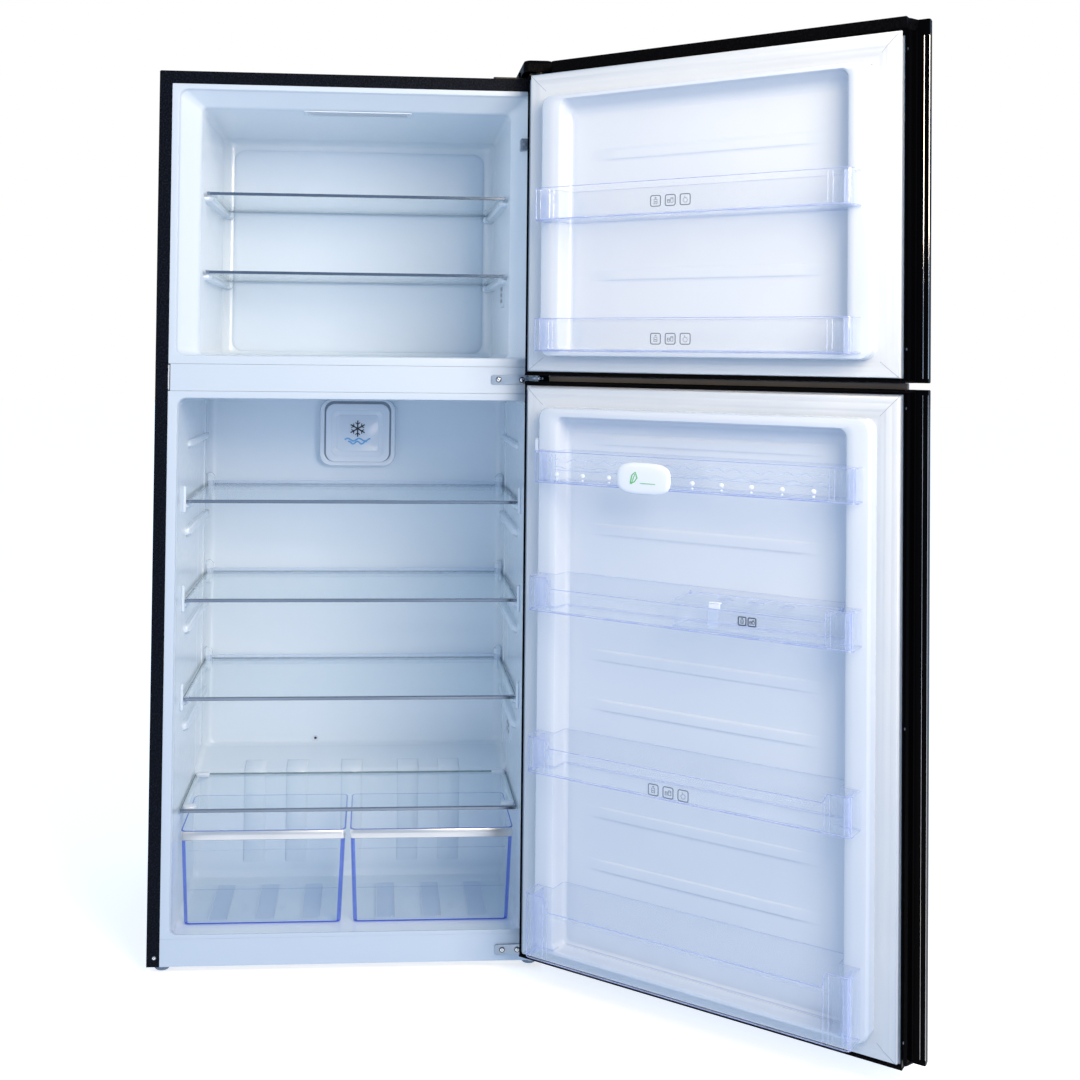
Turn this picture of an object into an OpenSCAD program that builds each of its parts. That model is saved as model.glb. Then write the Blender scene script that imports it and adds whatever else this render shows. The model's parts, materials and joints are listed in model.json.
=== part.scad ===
/* [Cabinet] */
// Outside width of the cabinet
cab_w = 790; // [780:1:800]
// Depth of the cabinet from its front edge to its back
cab_d = 630; // [625:1:640]
// Height of the cabinet's top above the floor
cab_top = 1795; // [1794:1:1797]
// Height of the steel shell's lower edge above the floor
shell_z = 15; // [14:1:16]
// Width of the black return that frames the front of the cabinet
flange_w = 25; // [24:1:26]

/* [Compartments] */
// Height of the freezer's floor above the room's floor
freezer_floor = 1226; // [1225:1:1227]
// Height of the freezer's ceiling
freezer_ceiling = 1730; // [1726:1:1732]
// Half of the freezer's width behind its flared mouth
freezer_half = 316; // [315:1:317]
// Height of the fridge's floor above the room's floor
fridge_floor = 58; // [57:1:59]
// Height of the fridge's ceiling
fridge_ceiling = 1138.5; // [1136:0.5:1139]
// Half of the fridge compartment's width
fridge_half = 349.5; // [348:0.5:350]

/* [Shelves] */
// Top of the upper freezer shelf
freezer_shelf_hi = 1563; // [1550:1:1570]
// Top of the lower freezer shelf
freezer_shelf_lo = 1400; // [1380:1:1410]
// Top of the highest fridge shelf
fridge_shelf_hi = 926; // [915:1:935]
// Top of the middle fridge shelf
fridge_shelf_mid = 722; // [710:1:730]
// Top of the lowest fridge shelf
fridge_shelf_lo = 520; // [510:1:530]
// Top of the glass cover above the crisper drawers
crisper_cover_z = 292; // [288:1:294]

/* [Doors] */
// Angle that both doors stand open by
rest_open = 142.5; // [0:0.5:145]
// Distance of the hinge line from the cabinet's centre plane
pivot_x = 365.5; // [365:0.5:366]
// Distance of the hinge line in front of the cabinet
pivot_out = 39; // [38.5:0.5:39]
// Radius of the hinge pins
pin_r = 4; // [3.8:0.1:4.2]
// Thickness of a door with its gasket
door_t = 61; // [60:1:62]

/* [Hidden] */

eps = 0.02;
half_w = cab_w / 2;
pivot_y = -pivot_out;
sheet = 1.5;          // shell and base sheet steel
liner_t = 2.5;        // vacuum-formed liner
glass_t = 4;
run_gap = 0.05;       // radial clearance of pins and shafts
seam = 0.5;           // gap between neighbouring front pieces

// Front frame heights
rail_top = 69;
divider_lo = 1154.4;
divider_hi = 1208;
flange_in = half_w - flange_w;
flange_top = cab_top - flange_w;

// Freezer
lip_half = 354;
lip_top = 1758;
flare_d = 50;
cover_y = 470;        // front of the evaporator cover
freezer_back = 543;

// Fridge
hump_y = 345;
fridge_back = 490;

// Compressor bay
bay_y = 398;
bay_top = 250;

// Shelves
shelf_y = 95;
shelf_back = 470;
shelf_half = 345;
freezer_shelf_half = 311;
freezer_shelf_back = 458;

// Doors, in their closed places
freezer_door_z = 1192.5;
freezer_door_mid = 1790;   // top of the door beside the hinge cover
freezer_door_top = 1814;
fridge_door_z = 47;
fridge_door_top = 1181;
notch_x = 320.5;
door_free = -371;
door_hinge_side = 376;
panel_free = -400;
panel_hinge = 394;
body_back = -10;      // inner face of the door's body
groove_y = -46;       // back of the overhanging front panel
glass_y = -57;        // back of the glass panel
gasket_half = 365;
gasket_w = 37;
dyke_half = 325;
dyke_w = 45;
dyke_y = 27;          // how far the dyke stands into the cabinet
recess_y = -14;
bin_y = 78;

module rounded(w, h, r) {
    if (r > 0) {
        translate([r, 0]) square([w - 2 * r, h]);
        translate([0, r]) square([w, h - 2 * r]);
        for (x = [r, w - r], y = [r, h - r]) translate([x, y]) circle(r, $fn = 32);
    } else square([w, h]);
}

// A plate in the X-Z plane between two depths
module plate_y(x0, x1, z0, z1, y0, y1, r = 0) {
    translate([0, y1, 0]) rotate([90, 0, 0]) linear_extrude(y1 - y0)
        translate([x0, z0]) rounded(x1 - x0, z1 - z0, r);
}

// A plate in the X-Y plane between two heights
module plate_z(x0, x1, y0, y1, z0, z1, r = 0) {
    translate([0, 0, z0]) linear_extrude(z1 - z0) translate([x0, y0]) rounded(x1 - x0, y1 - y0, r);
}

module block(x0, x1, y0, y1, z0, z1) {
    translate([x0, y0, z0]) cube([x1 - x0, y1 - y0, z1 - z0]);
}

// A ring in the X-Z plane inside the given outline: sides w wide, bottom and top bars as given
module frame_y(half, z0, z1, w, bottom, top, y0, y1, r, inner_r) {
    difference() {
        plate_y(-half, half, z0, z1, y0, y1, r);
        plate_y(-half + w, half - w, z0 + bottom, z1 - top, y0 - 1, y1 + 1, inner_r);
    }
}

// A Y-Z outline swept from x0 to x1
module prism_x(x0, x1) {
    translate([x0, 0, 0]) rotate([90, 0, 90]) linear_extrude(x1 - x0) children();
}

// A cylinder along Y
module rod_y(x, z, r, y0, y1) {
    translate([x, y1, z]) rotate([90, 0, 0]) cylinder(r = r, h = y1 - y0, $fn = 48);
}

// A cylinder along X
module rod_x(y, z, r, x0, x1) {
    translate([x0, y, z]) rotate([0, 90, 0]) cylinder(r = r, h = x1 - x0, $fn = 48);
}

module rod_z(x, y, r, z0, z1) {
    translate([x, y, z0]) cylinder(r = r, h = z1 - z0, $fn = 48);
}

// Turns a door from its closed place to its open one
module hung() {
    translate([pivot_x, pivot_y, 0]) rotate([0, 0, rest_open]) translate([-pivot_x, -pivot_y, 0]) children();
}

// ---------------------------------------------------------------- cabinet

roller_x = 330;
roller_y = 575;
roller_r = 12;
axle_r = 2.5;
foot_x = 368;
foot_y = 31;

module shell() {
    color("black") {
        difference() {
            plate_y(-half_w, half_w, shell_z, cab_top, 0, cab_d, 3);
            plate_y(-half_w + sheet, half_w - sheet, shell_z - 1, cab_top - sheet, sheet, cab_d + 1);
            plate_y(-flange_in, flange_in, shell_z - 1, flange_top, -1, sheet + 1);
            block(-half_w - 1, half_w + 1, -1, cab_d + 1, shell_z - 1, shell_z + 3);
        }
        for (s = [-1, 1]) {
            block(s > 0 ? half_w - sheet : -half_w, s > 0 ? half_w : -half_w + sheet,
                sheet, cab_d, shell_z, shell_z + 3 + eps);
            block(s > 0 ? flange_in : -half_w, s > 0 ? half_w : -flange_in,
                0, sheet, shell_z, shell_z + 3 + eps);
        }
    }
}

module back_panel() {
    color("gray") difference() {
        block(-half_w + sheet, half_w - sheet, cab_d - sheet, cab_d, bay_top + sheet, cab_top - sheet);
        for (z = [500 : 300 : 1700]) block(-300, 300, cab_d - 0.5, cab_d + 1, z, z + 40);
    }
}

module base_pan() {
    color("silver") difference() {
        union() {
            prism_x(-half_w + sheet, half_w - sheet) polygon([[20.5, shell_z], [cab_d - sheet, shell_z],
                [cab_d - sheet, shell_z + sheet], [bay_y + sheet, shell_z + sheet], [bay_y + sheet, bay_top],
                [cab_d, bay_top], [cab_d, bay_top + sheet], [bay_y, bay_top + sheet],
                [bay_y, shell_z + sheet], [20.5, shell_z + sheet]]);
            for (x = [-roller_x, roller_x], s = [-1, 1])
                block(x + s * 14 - 1, x + s * 14 + 1, roller_y - 11, roller_y + 11, 6, shell_z + eps);
            for (x = [-roller_x, roller_x]) rod_x(roller_y, roller_r, axle_r, x - 14, x + 14);
            for (x = [110, 270]) block(x - 8, x + 8, 543, 545, shell_z + sheet - eps, 212);
        }
        for (x = [-roller_x, roller_x])
            block(x - 11, x + 11, roller_y - 14, roller_y + 14, shell_z - 0.3, shell_z + sheet + 1);
        for (x = [-foot_x, foot_x]) rod_z(x, foot_y, 5.4, shell_z - 1, shell_z + sheet + 1);
        rod_z(-88, 520, 6.3, bay_top - 1, bay_top + sheet + 1);
    }
}

module bay_cover() {
    color("dimgray") difference() {
        block(-half_w + sheet + seam, half_w - sheet - seam, cab_d - sheet, cab_d,
            shell_z + 4, bay_top - seam);
        for (x = [-330 : 170 : 180]) block(x, x + 150, cab_d - 3, cab_d + 1, 130, 190);
    }
}

module bottom_rail() {
    color("white") difference() {
        block(-flange_in + seam, flange_in - seam, seam, 18.5, shell_z, rail_top - 0.1);
        block(-flange_in + 3, flange_in - 3, 3, 21, shell_z - 1, rail_top - 3);
    }
}

module divider_rail() {
    color("white") difference() {
        block(-flange_in + seam + 4, flange_in - seam, seam, 20, divider_lo, divider_hi);
        block(-flange_in + 8, flange_in - 4, 4, 21, divider_lo + 3, divider_hi - 3);
    }
}

module freezer_outer() {
    plate_y(-flange_in + seam, flange_in - seam, divider_hi + seam, flange_top - seam, seam, seam + liner_t);
    hull() {
        plate_y(-lip_half - liner_t, lip_half + liner_t, freezer_floor - liner_t,
            lip_top + liner_t, seam, 2, 18);
        plate_y(-freezer_half - liner_t, freezer_half + liner_t, freezer_floor - liner_t,
            freezer_ceiling + liner_t, flare_d, flare_d + 1, 10);
    }
    plate_y(-freezer_half - liner_t, freezer_half + liner_t, freezer_floor - liner_t,
        freezer_ceiling + liner_t, flare_d, freezer_back + liner_t, 10);
}

module freezer_cavity() {
    hull() {
        plate_y(-lip_half, lip_half, freezer_floor, lip_top, -1, 0.5, 16);
        plate_y(-freezer_half, freezer_half, freezer_floor, freezer_ceiling, flare_d, flare_d + 0.5, 8);
    }
    plate_y(-freezer_half, freezer_half, freezer_floor, freezer_ceiling, flare_d, freezer_back, 8);
}

switch_x = 341;
switch_z = 1663;
plunger_r = 4;

// Door switch housing, set in the flare beside the freezer's mouth
module switch_box() {
    block(switch_x - 8, switch_x + 8, 6, 40, switch_z - 12, switch_z + 12);
}

// Moulded ledges that carry the shelves
module ledges(tops, half, inner, y1, h) {
    for (z = tops, s = [-1, 1])
        block(s > 0 ? inner : -half - 1, s > 0 ? half + 1 : -inner, 106, y1,
            z - glass_t - 0.3 - h, z - glass_t - 0.3);
}

module freezer_ledges() { ledges([freezer_shelf_hi, freezer_shelf_lo], freezer_half, 298, 452, 9); }

module freezer_liner() {
    color("white") {
        difference() {
            union() {
                freezer_outer();
                freezer_ledges();
            }
            difference() {
                freezer_cavity();
                freezer_ledges();
            }
            switch_box();
        }
        difference() {
            switch_box();
            rod_y(switch_x, switch_z, plunger_r + run_gap, 5, 34);
        }
    }
}

drain_x = -88;
drain_z = 326;
branch_r = 5;

module fridge_outer() {
    plate_y(-flange_in + seam, flange_in - seam, rail_top, divider_lo - seam, seam, seam + liner_t);
    prism_x(-fridge_half - liner_t, fridge_half + liner_t) polygon([[seam, rail_top], [19, rail_top],
        [27, fridge_floor - liner_t], [hump_y + liner_t, fridge_floor - liner_t], [hump_y + 7.4, 290],
        [fridge_back + liner_t, 315.8], [fridge_back + liner_t, fridge_ceiling + liner_t],
        [seam, fridge_ceiling + liner_t]]);
}

module fridge_cavity() {
    prism_x(-fridge_half, fridge_half) polygon([[-1, rail_top + liner_t], [20, rail_top + liner_t],
        [28, fridge_floor], [hump_y, fridge_floor], [hump_y + 5, 292], [fridge_back, 318],
        [fridge_back, fridge_ceiling], [-1, fridge_ceiling]]);
}

module fridge_liner() {
    color("white") difference() {
        fridge_outer();
        difference() {
            fridge_cavity();
            ledges([fridge_shelf_hi, fridge_shelf_mid, fridge_shelf_lo], fridge_half, 337.5, 462, 10);
            ledges([crisper_cover_z], fridge_half, 337.5, 338, 10);
        }
        rod_y(drain_x, drain_z, branch_r, fridge_back - 1, fridge_back + liner_t + 1);
    }
}

module cabinet_foam() {
    color("khaki") difference() {
        block(-half_w + sheet, half_w - sheet, seam + liner_t, cab_d - sheet,
            shell_z + sheet, cab_top - sheet);
        freezer_outer();
        fridge_outer();
        switch_box();
        block(-flange_in, flange_in, 0, 20.5, divider_lo - seam, divider_hi + seam);
        block(-flange_in, flange_in, 0, 20.5, shell_z, rail_top);
        block(-half_w, half_w, bay_y, cab_d + 1, shell_z, bay_top + sheet);
        for (x = [-foot_x, foot_x]) rod_z(x, foot_y, 6.5, shell_z, 46);
        rod_z(drain_x, 520, 6.3, bay_top, drain_z + 9);
        rod_y(drain_x, drain_z, branch_r, fridge_back, 520);
    }
}

module evaporator_cover() {
    color("white") difference() {
        plate_y(-freezer_half + seam, freezer_half - seam, freezer_floor + seam, freezer_ceiling - seam,
            cover_y, cover_y + 3, 8);
        for (x = [-240 : 60 : 210]) {
            block(x, x + 40, cover_y - 1, cover_y + 4, freezer_ceiling - 14, freezer_ceiling - 8);
            block(x, x + 40, cover_y - 1, cover_y + 4, freezer_floor + 4, freezer_floor + 10);
        }
    }
}

module evaporator() {
    color("silver") {
        for (x = [-250 : 25 : 250]) block(x - 0.4, x + 0.4, 482, 530, 1262, 1500);
        for (z = [1280 : 34 : 1484], y = [494, 518]) rod_x(y, z, 4, -262, 262);
        for (x = [-262, 260]) block(x, x + 2, 480, freezer_back, 1262, 1500);
    }
}

fan_z = 1625;

module fan_motor() {
    color("dimgray") {
        rod_y(0, fan_z, 22, 508, freezer_back);
        rod_y(0, fan_z, 2, 480, 508 + eps);
    }
}

module fan_rotor() {
    color("white") difference() {
        union() {
            rod_y(0, fan_z, 15, 482, 502);
            for (a = [0 : 72 : 288]) translate([0, 492, fan_z]) rotate([0, a, 0]) rotate([0, 0, 28])
                translate([-11, -1, 12]) cube([22, 2, 40]);
        }
        rod_y(0, fan_z, 2 + run_gap, 478, 504);
    }
}

// Lamp diffuser under a ceiling
module lamp_cover(half, y0, y1, ceiling) {
    difference() {
        plate_z(-half, half, y0, y1, ceiling - 8, ceiling, 6);
        block(-half + 4, half - 4, y0 + 4, y1 - 4, ceiling - 6, ceiling + 1);
    }
}

module lamp_covers() {
    color("white") {
        lamp_cover(112, 53, 106, freezer_ceiling);
        lamp_cover(60, 70, 130, fridge_ceiling);
    }
}

module vent_box() {
    color("whitesmoke") difference() {
        plate_y(-86, 91, 968, 1124, 462, fridge_back, 28);
        plate_y(-83, 88, 971, 1121, 465, fridge_back + 1, 25);
        for (z = [1010 : 16 : 1074], x = [-87, 86]) block(x, x + 6, 470, 484, z, z + 6);
        for (x = [-48 : 18 : 42]) block(x, x + 9, 470, 484, 967, 972);
    }
}

module vent_panel() {
    color("white") plate_y(-72, 77, 978, 1114, 458, 462, 20);
}

module drain_tube() {
    color("gray") difference() {
        union() {
            rod_y(drain_x, drain_z, branch_r, fridge_back - 1, 520);
            rod_z(drain_x, 520, 6.3, 222, drain_z + 9);
        }
        rod_y(drain_x, drain_z, branch_r - 1.8, fridge_back - 2, 520);
        rod_z(drain_x, 520, 4.2, 221, drain_z + 6);
    }
}

module drain_pan() {
    color("dimgray") difference() {
        plate_z(-200, -30, 430, 600, 190, 213, 12);
        plate_z(-197, -33, 433, 597, 193, 214, 9);
    }
}

compressor_x = -110;
compressor_y = 515;

module compressor() {
    color("black") {
        translate([compressor_x, compressor_y, 0]) rotate_extrude($fn = 64) intersection() {
            union() {
                translate([0, 38]) square([46, 152]);
                translate([0, 64]) square([72, 100]);
                translate([46, 64]) circle(26, $fn = 48);
                translate([46, 164]) circle(26, $fn = 48);
            }
            square([80, 200]);
        }
        difference() {
            plate_z(compressor_x - 92, compressor_x + 92, compressor_y - 62, compressor_y + 62,
                34, 38 + eps, 10);
            for (x = [-78, 78], y = [-48, 48]) rod_z(compressor_x + x, compressor_y + y, 6, 33, 39);
        }
    }
}

module compressor_grommets() {
    color("black") for (x = [-78, 78], y = [-48, 48]) {
        rod_z(compressor_x + x, compressor_y + y, 12, shell_z + sheet, 34);
        rod_z(compressor_x + x, compressor_y + y, 6, 34 - eps, 42);
    }
}

// Serpentine tube beside the compressor
module condenser() {
    color("dimgray") for (i = [0 : 5]) {
        z = 50 + i * 30;
        rod_x(540, z, 3, 60, 320);
        if (i < 5) rod_z(i % 2 == 0 ? 320 : 60, 540, 3.6, z - 4, z + 34);
    }
}

module top_hinge() {
    color("black") difference() {
        union() {
            plate_z(276, 390, 4, 62, cab_top, cab_top + 4, 4);
            block(345, 386, pivot_y, 10, cab_top, cab_top + 4);
            rod_z(pivot_x, pivot_y, 12, cab_top, cab_top + 4);
            rod_z(pivot_x, pivot_y, pin_r, 1779, cab_top + eps);
        }
        for (x = [290, 318, 376]) rod_z(x, 48, 2.6, cab_top - 1, cab_top + 5);
    }
}

module top_hinge_cover() {
    color("black") difference() {
        plate_z(331, 393, -53, 66, cab_top + 4, cab_top + 29, 10);
        plate_z(333.5, 390.5, -50.5, 63.5, cab_top + 3, cab_top + 26.5, 8);
    }
}

module hinge_plate(x0, x1, z0, z1, screws) {
    difference() {
        plate_y(x0, x1, z0, z1, -3, seam, 4);
        for (x = screws) rod_y(x, (z0 + z1) / 2, 2.6, -4, seam + 1);
    }
}

module middle_hinge() {
    color("silver") {
        hinge_plate(277.4, 353, 1173.4, 1192.3, [291.5, 339.2]);
        translate([0, 0, 1184.5]) linear_extrude(4)
            polygon([[346, -2.9], [353, -2.9], [377.3, -36], [353.7, -42]]);
        rod_z(pivot_x, pivot_y, 12, 1184.5, 1188.5);
        rod_z(pivot_x, pivot_y, pin_r, 1170, 1203);
    }
}

module bottom_hinge() {
    color("silver") {
        hinge_plate(296, 353, 28, 48, [310.5, 341]);
        translate([0, 0, 36]) linear_extrude(4)
            polygon([[346, -2.9], [353, -2.9], [377.3, -36], [353.7, -42]]);
        rod_z(pivot_x, pivot_y, 12, 36, 40);
        rod_z(pivot_x, pivot_y, pin_r, 40 - eps, 60);
    }
}

// Screw along Y with its head in front of y0
module screw_y(x, z, y0, y1) {
    rod_y(x, z, 4.2, y0 - 2, y0);
    rod_y(x, z, 2.55, y0 - eps, y1);
}

module hinge_screws() {
    color("lightgray") {
        for (x = [291.5, 339.2]) screw_y(x, 1182.85, -3, seam - 0.02);
        for (x = [310.5, 341]) screw_y(x, 38, -3, seam - 0.02);
        rod_y(-380, 33, 4.2, -2, 0);
        for (x = [290, 318, 376]) {
            rod_z(x, 48, 2.55, cab_top + 0.02, cab_top + 4 + eps);
            rod_z(x, 48, 5, cab_top + 4, cab_top + 6.5);
        }
    }
}

module foot(x) {
    color("lightslategray") {
        translate([x, foot_y, 0]) rotate_extrude($fn = 48)
            polygon([[0, 0], [12, 0], [15, 2], [15, 9], [13, 11], [5, 11], [5, 44], [0, 44]]);
    }
}

module foot_left() { foot(-foot_x); }
module foot_right() { foot(foot_x); }

module rear_rollers() {
    color("dimgray") for (x = [-roller_x, roller_x]) difference() {
        rod_x(roller_y, roller_r, roller_r, x - 10, x + 10);
        rod_x(roller_y, roller_r, axle_r + run_gap, x - 11, x + 11);
    }
}

module switch_plunger() {
    color("gray") {
        rod_y(switch_x, switch_z, plunger_r, 4.3, 27);
        translate([switch_x, 4.3 + eps, switch_z]) rotate([90, 0, 0])
            cylinder(r1 = plunger_r, r2 = 2, h = 4, $fn = 48);
    }
}

// ---------------------------------------------------------------- shelves and drawers

module freezer_shelf(z) {
    color("lightcyan")
        plate_z(-freezer_shelf_half, freezer_shelf_half, shelf_y, freezer_shelf_back, z - glass_t, z, 6);
}

module freezer_shelf_upper() { freezer_shelf(freezer_shelf_hi); }
module freezer_shelf_lower() { freezer_shelf(freezer_shelf_lo); }

module fridge_shelf(z) {
    color("lightcyan") block(-shelf_half, shelf_half, shelf_y, shelf_back, z - glass_t, z);
}

module fridge_shelf_1() { fridge_shelf(fridge_shelf_hi); }
module fridge_shelf_2() { fridge_shelf(fridge_shelf_mid); }
module fridge_shelf_3() { fridge_shelf(fridge_shelf_lo); }

// Front edge strip and rear corner clips of a fridge shelf
module shelf_trim(z) {
    color("silver") difference() {
        union() {
            plate_z(-shelf_half - 1, shelf_half + 1, shelf_y - 3, shelf_y + 9, z - 9, z + 1, 2);
            for (x = [-shelf_half - 1, shelf_half - 21])
                block(x, x + 22, shelf_back - 6, shelf_back + 4, z - glass_t, z + 4);
        }
        block(-shelf_half, shelf_half, shelf_y, shelf_back, z - glass_t, z);
    }
}

module shelf_trim_1() { shelf_trim(fridge_shelf_hi); }
module shelf_trim_2() { shelf_trim(fridge_shelf_mid); }
module shelf_trim_3() { shelf_trim(fridge_shelf_lo); }

module crisper_cover() {
    color("lightcyan")
        plate_z(-fridge_half + 2.5, fridge_half - 2.5, 92, 340,
            crisper_cover_z - glass_t, crisper_cover_z, 6);
}

crisper_y = 90;
crisper_back = 315;
crisper_z = 58.6;
crisper_top = 250;

// A tapered drawer between x0 and x1, with its handle band in front
module crisper(x0, x1) {
    color("lightsteelblue") {
        difference() {
            hull() {
                plate_z(x0 + 8, x1 - 8, crisper_y + 2, crisper_back - 14, crisper_z, crisper_z + 0.1, 12);
                plate_z(x0, x1, crisper_y, crisper_back, crisper_top - 0.1, crisper_top, 12);
            }
            hull() {
                plate_z(x0 + 10.5, x1 - 10.5, crisper_y + 4.5, crisper_back - 16.5,
                    crisper_z + 2.5, crisper_z + 2.6, 10);
                plate_z(x0 + 2.5, x1 - 2.5, crisper_y + 2.5, crisper_back - 2.5,
                    crisper_top, crisper_top + 0.1, 10);
            }
        }
        block(x0 + 12, x1 - 12, crisper_y - 5, crisper_y + 1, crisper_top - 14, crisper_top);
    }
}

module crisper_left() { crisper(-344, -7); }
module crisper_right() { crisper(2, 340); }

// ---------------------------------------------------------------- doors

// The door's outline seen from above: body, grip groove and overhanging front
module door_outline() {
    polygon([[door_free, body_back], [door_hinge_side, body_back], [door_hinge_side, groove_y],
        [panel_hinge, groove_y], [panel_hinge, glass_y], [panel_free, glass_y],
        [panel_free, groove_y - 2], [panel_free + 2, groove_y], [door_free - 9, groove_y],
        [door_free - 7, groove_y + 2], [door_free - 3, -30], [door_free, -26]]);
}

door_wall = 2.5;
cap_t = 8;
boss_r = 7;

module bush_boss(z0, z1) { rod_z(pivot_x, pivot_y, boss_r, z0, z1); }
module bush_hole(z0, z1) { rod_z(pivot_x, pivot_y, pin_r + run_gap, z0, z1); }

module door_hollow(z0, z1, y1) {
    block(door_free + door_wall, door_hinge_side - door_wall, glass_y + door_wall, y1, z0, z1);
}

module freezer_door_frame() {
    color("black") hung() difference() {
        union() {
            difference() {
                union() {
                    translate([0, 0, freezer_door_z])
                        linear_extrude(freezer_door_mid - freezer_door_z) door_outline();
                    intersection() {
                        translate([0, 0, freezer_door_mid - eps])
                            linear_extrude(freezer_door_top - freezer_door_mid + eps) door_outline();
                        block(panel_free - 1, notch_x, -100, 50, 1700, 1900);
                    }
                }
                door_hollow(freezer_door_z + cap_t, freezer_door_mid - cap_t, 0);
            }
            bush_boss(freezer_door_z + cap_t - eps, 1208);
            bush_boss(1774, freezer_door_mid - cap_t + eps);
        }
        bush_hole(freezer_door_z - 1, 1205);
        bush_hole(1777, freezer_door_mid + 1);
    }
}

module fridge_door_frame() {
    color("black") hung() difference() {
        union() {
            difference() {
                translate([0, 0, fridge_door_z])
                    linear_extrude(fridge_door_top - fridge_door_z) door_outline();
                door_hollow(fridge_door_z + cap_t, fridge_door_top - cap_t, 0);
            }
            bush_boss(fridge_door_z + cap_t - eps, 66);
            bush_boss(1165, fridge_door_top - cap_t + eps);
        }
        bush_hole(fridge_door_z - 1, 63);
        bush_hole(1168, fridge_door_top + 1);
    }
}

module freezer_door_glass() {
    color("black") hung() difference() {
        plate_y(panel_free, panel_hinge, freezer_door_z, freezer_door_top, -door_t, glass_y, 2);
        block(notch_x, panel_hinge + 1, -100, 0, freezer_door_mid, 1900);
    }
}

module fridge_door_glass() {
    color("black") hung()
        plate_y(panel_free, panel_hinge, fridge_door_z, fridge_door_top, -door_t, glass_y, 2);
}

// Heights of an inner door: flange bottom and top, dyke bottom and top, recess bottom and top
freezer_inner = [freezer_door_z + 0.5, freezer_door_mid - 0.5, 1231, 1738, 1240.7, 1728];
fridge_inner = [fridge_door_z + 0.5, fridge_door_top - 0.5, 87, 1132, 94.7, 1112];

// Vacuum-formed inner door: flange, raised dyke, recessed panel and the lugs that carry the bins
module door_liner(h, lug_zs) {
    recess_half = dyke_half - dyke_w;
    lower = h[4] - h[2];
    upper = h[3] - h[5];
    color("white") hung() {
        difference() {
            block(door_free + seam, door_hinge_side - seam, body_back, body_back + 2, h[0], h[1]);
            plate_y(-dyke_half + 1, dyke_half - 1, h[2] + 1, h[3] - 1, body_back - 1, body_back + 3, 19);
        }
        frame_y(dyke_half, h[2], h[3], 2, 2, 2, body_back, dyke_y, 20, 18);
        frame_y(dyke_half, h[2], h[3], dyke_w, lower, upper, dyke_y - 2, dyke_y, 20, 0);
        frame_y(recess_half + 2, h[4] - 2, h[5] + 2, 2, 2, 2, recess_y - 2, dyke_y, 2, 0);
        plate_y(-recess_half - 1, recess_half + 1, h[4] - 1, h[5] + 1, recess_y - 2, recess_y, 1);
        for (z = lug_zs, s = [-1, 1])
            translate([s > 0 ? recess_half - 6 : -recess_half - 1, 0, z - 10.3]) cube([7, 20, 10]);
    }
}

module freezer_door_liner() { door_liner(freezer_inner, [1490]); }
module fridge_door_liner() { door_liner(fridge_inner, [990, 748, 443]); }

// Insulation inside a door
module door_foam(z0, z1, h) {
    recess_half = dyke_half - dyke_w;
    color("khaki") hung() difference() {
        union() {
            door_hollow(z0, z1, body_back);
            plate_y(-dyke_half + 2, dyke_half - 2, h[2] + 2, h[3] - 2, body_back - 1, dyke_y - 2, 18);
        }
        plate_y(-recess_half - 2, recess_half + 2, h[4] - 2, h[5] + 2, recess_y - 2, dyke_y + 1, 2);
        bush_boss(z0 - 1, z0 + 12);
        bush_boss(z1 - 12, z1 + 1);
    }
}

module freezer_door_foam() { door_foam(freezer_door_z + cap_t, freezer_door_mid - cap_t, freezer_inner); }
module fridge_door_foam() { door_foam(fridge_door_z + cap_t, fridge_door_top - cap_t, fridge_inner); }

// Magnetic gasket, hollow inside
module door_gasket(z0, z1, bottom) {
    color("gainsboro") hung() difference() {
        frame_y(gasket_half, z0, z1, gasket_w, bottom, gasket_w, body_back + 2, -0.4, 0, 0);
        frame_y(gasket_half - 8, z0 + 8, z1 - 8, gasket_w - 16, bottom - 16, gasket_w - 16, -6, -2, 0, 0);
    }
}

module freezer_door_gasket() { door_gasket(1201, 1789, 29.5); }
module fridge_door_gasket() { door_gasket(58, 1170, 28.5); }

// A door bin whose ends wrap over the dyke; its front wall may be lower than its ends
module door_bin(half, z0, z1, depth, drop = 0) {
    inner = dyke_half - dyke_w - 1;
    t = 2.5;
    difference() {
        union() {
            block(-inner, inner, recess_y + 0.4, depth, z0, z1);
            block(-half, half, dyke_y + 0.4, depth, z0, z1);
        }
        block(-inner + t, inner - t, recess_y + 0.4 + t, depth - t, z0 + t, z1 + 1);
        for (s = [-1, 1])
            block(s > 0 ? inner + t : -half + t, s > 0 ? half - t : -inner - t, dyke_y + 0.4 + t, depth - t,
                z0 + t, z1 + 1);
        if (drop > 0) block(-inner + 10, inner - 10, depth - t - 1, depth + 1, z1 - drop, z1 + 1);
    }
}

module freezer_bin_upper() { color("lavender") hung() door_bin(308, 1490, 1552, bin_y); }
module freezer_bin_lower() { color("lavender") hung() door_bin(308, 1241, 1303, bin_y); }
module module_bin() { color("lavender") hung() door_bin(313, 990, 1050, 62); }
module dairy_bin() { color("lavender") hung() door_bin(313, 748, 813, bin_y, 20); }
module bin_middle() { color("lavender") hung() door_bin(313, 443, 510, bin_y, 16); }
module bin_bottom() { color("lavender") hung() door_bin(313, 95, 215, bin_y, 26); }

// Oval lid on the front of the air module
module module_cover() {
    color("white") hung() translate([78, 62, 1010]) rotate([-90, 0, 0]) linear_extrude(6)
        translate([-54, -29]) rounded(108, 58, 26);
}

dairy_x0 = -270;
dairy_x1 = 16;
dairy_y0 = -8;
dairy_y1 = 72;
dairy_top = 800;

dairy_hinge_y = dairy_y0 + 4;
dairy_hinge_z = dairy_top + 3;
lid_end = 2.5;

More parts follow.
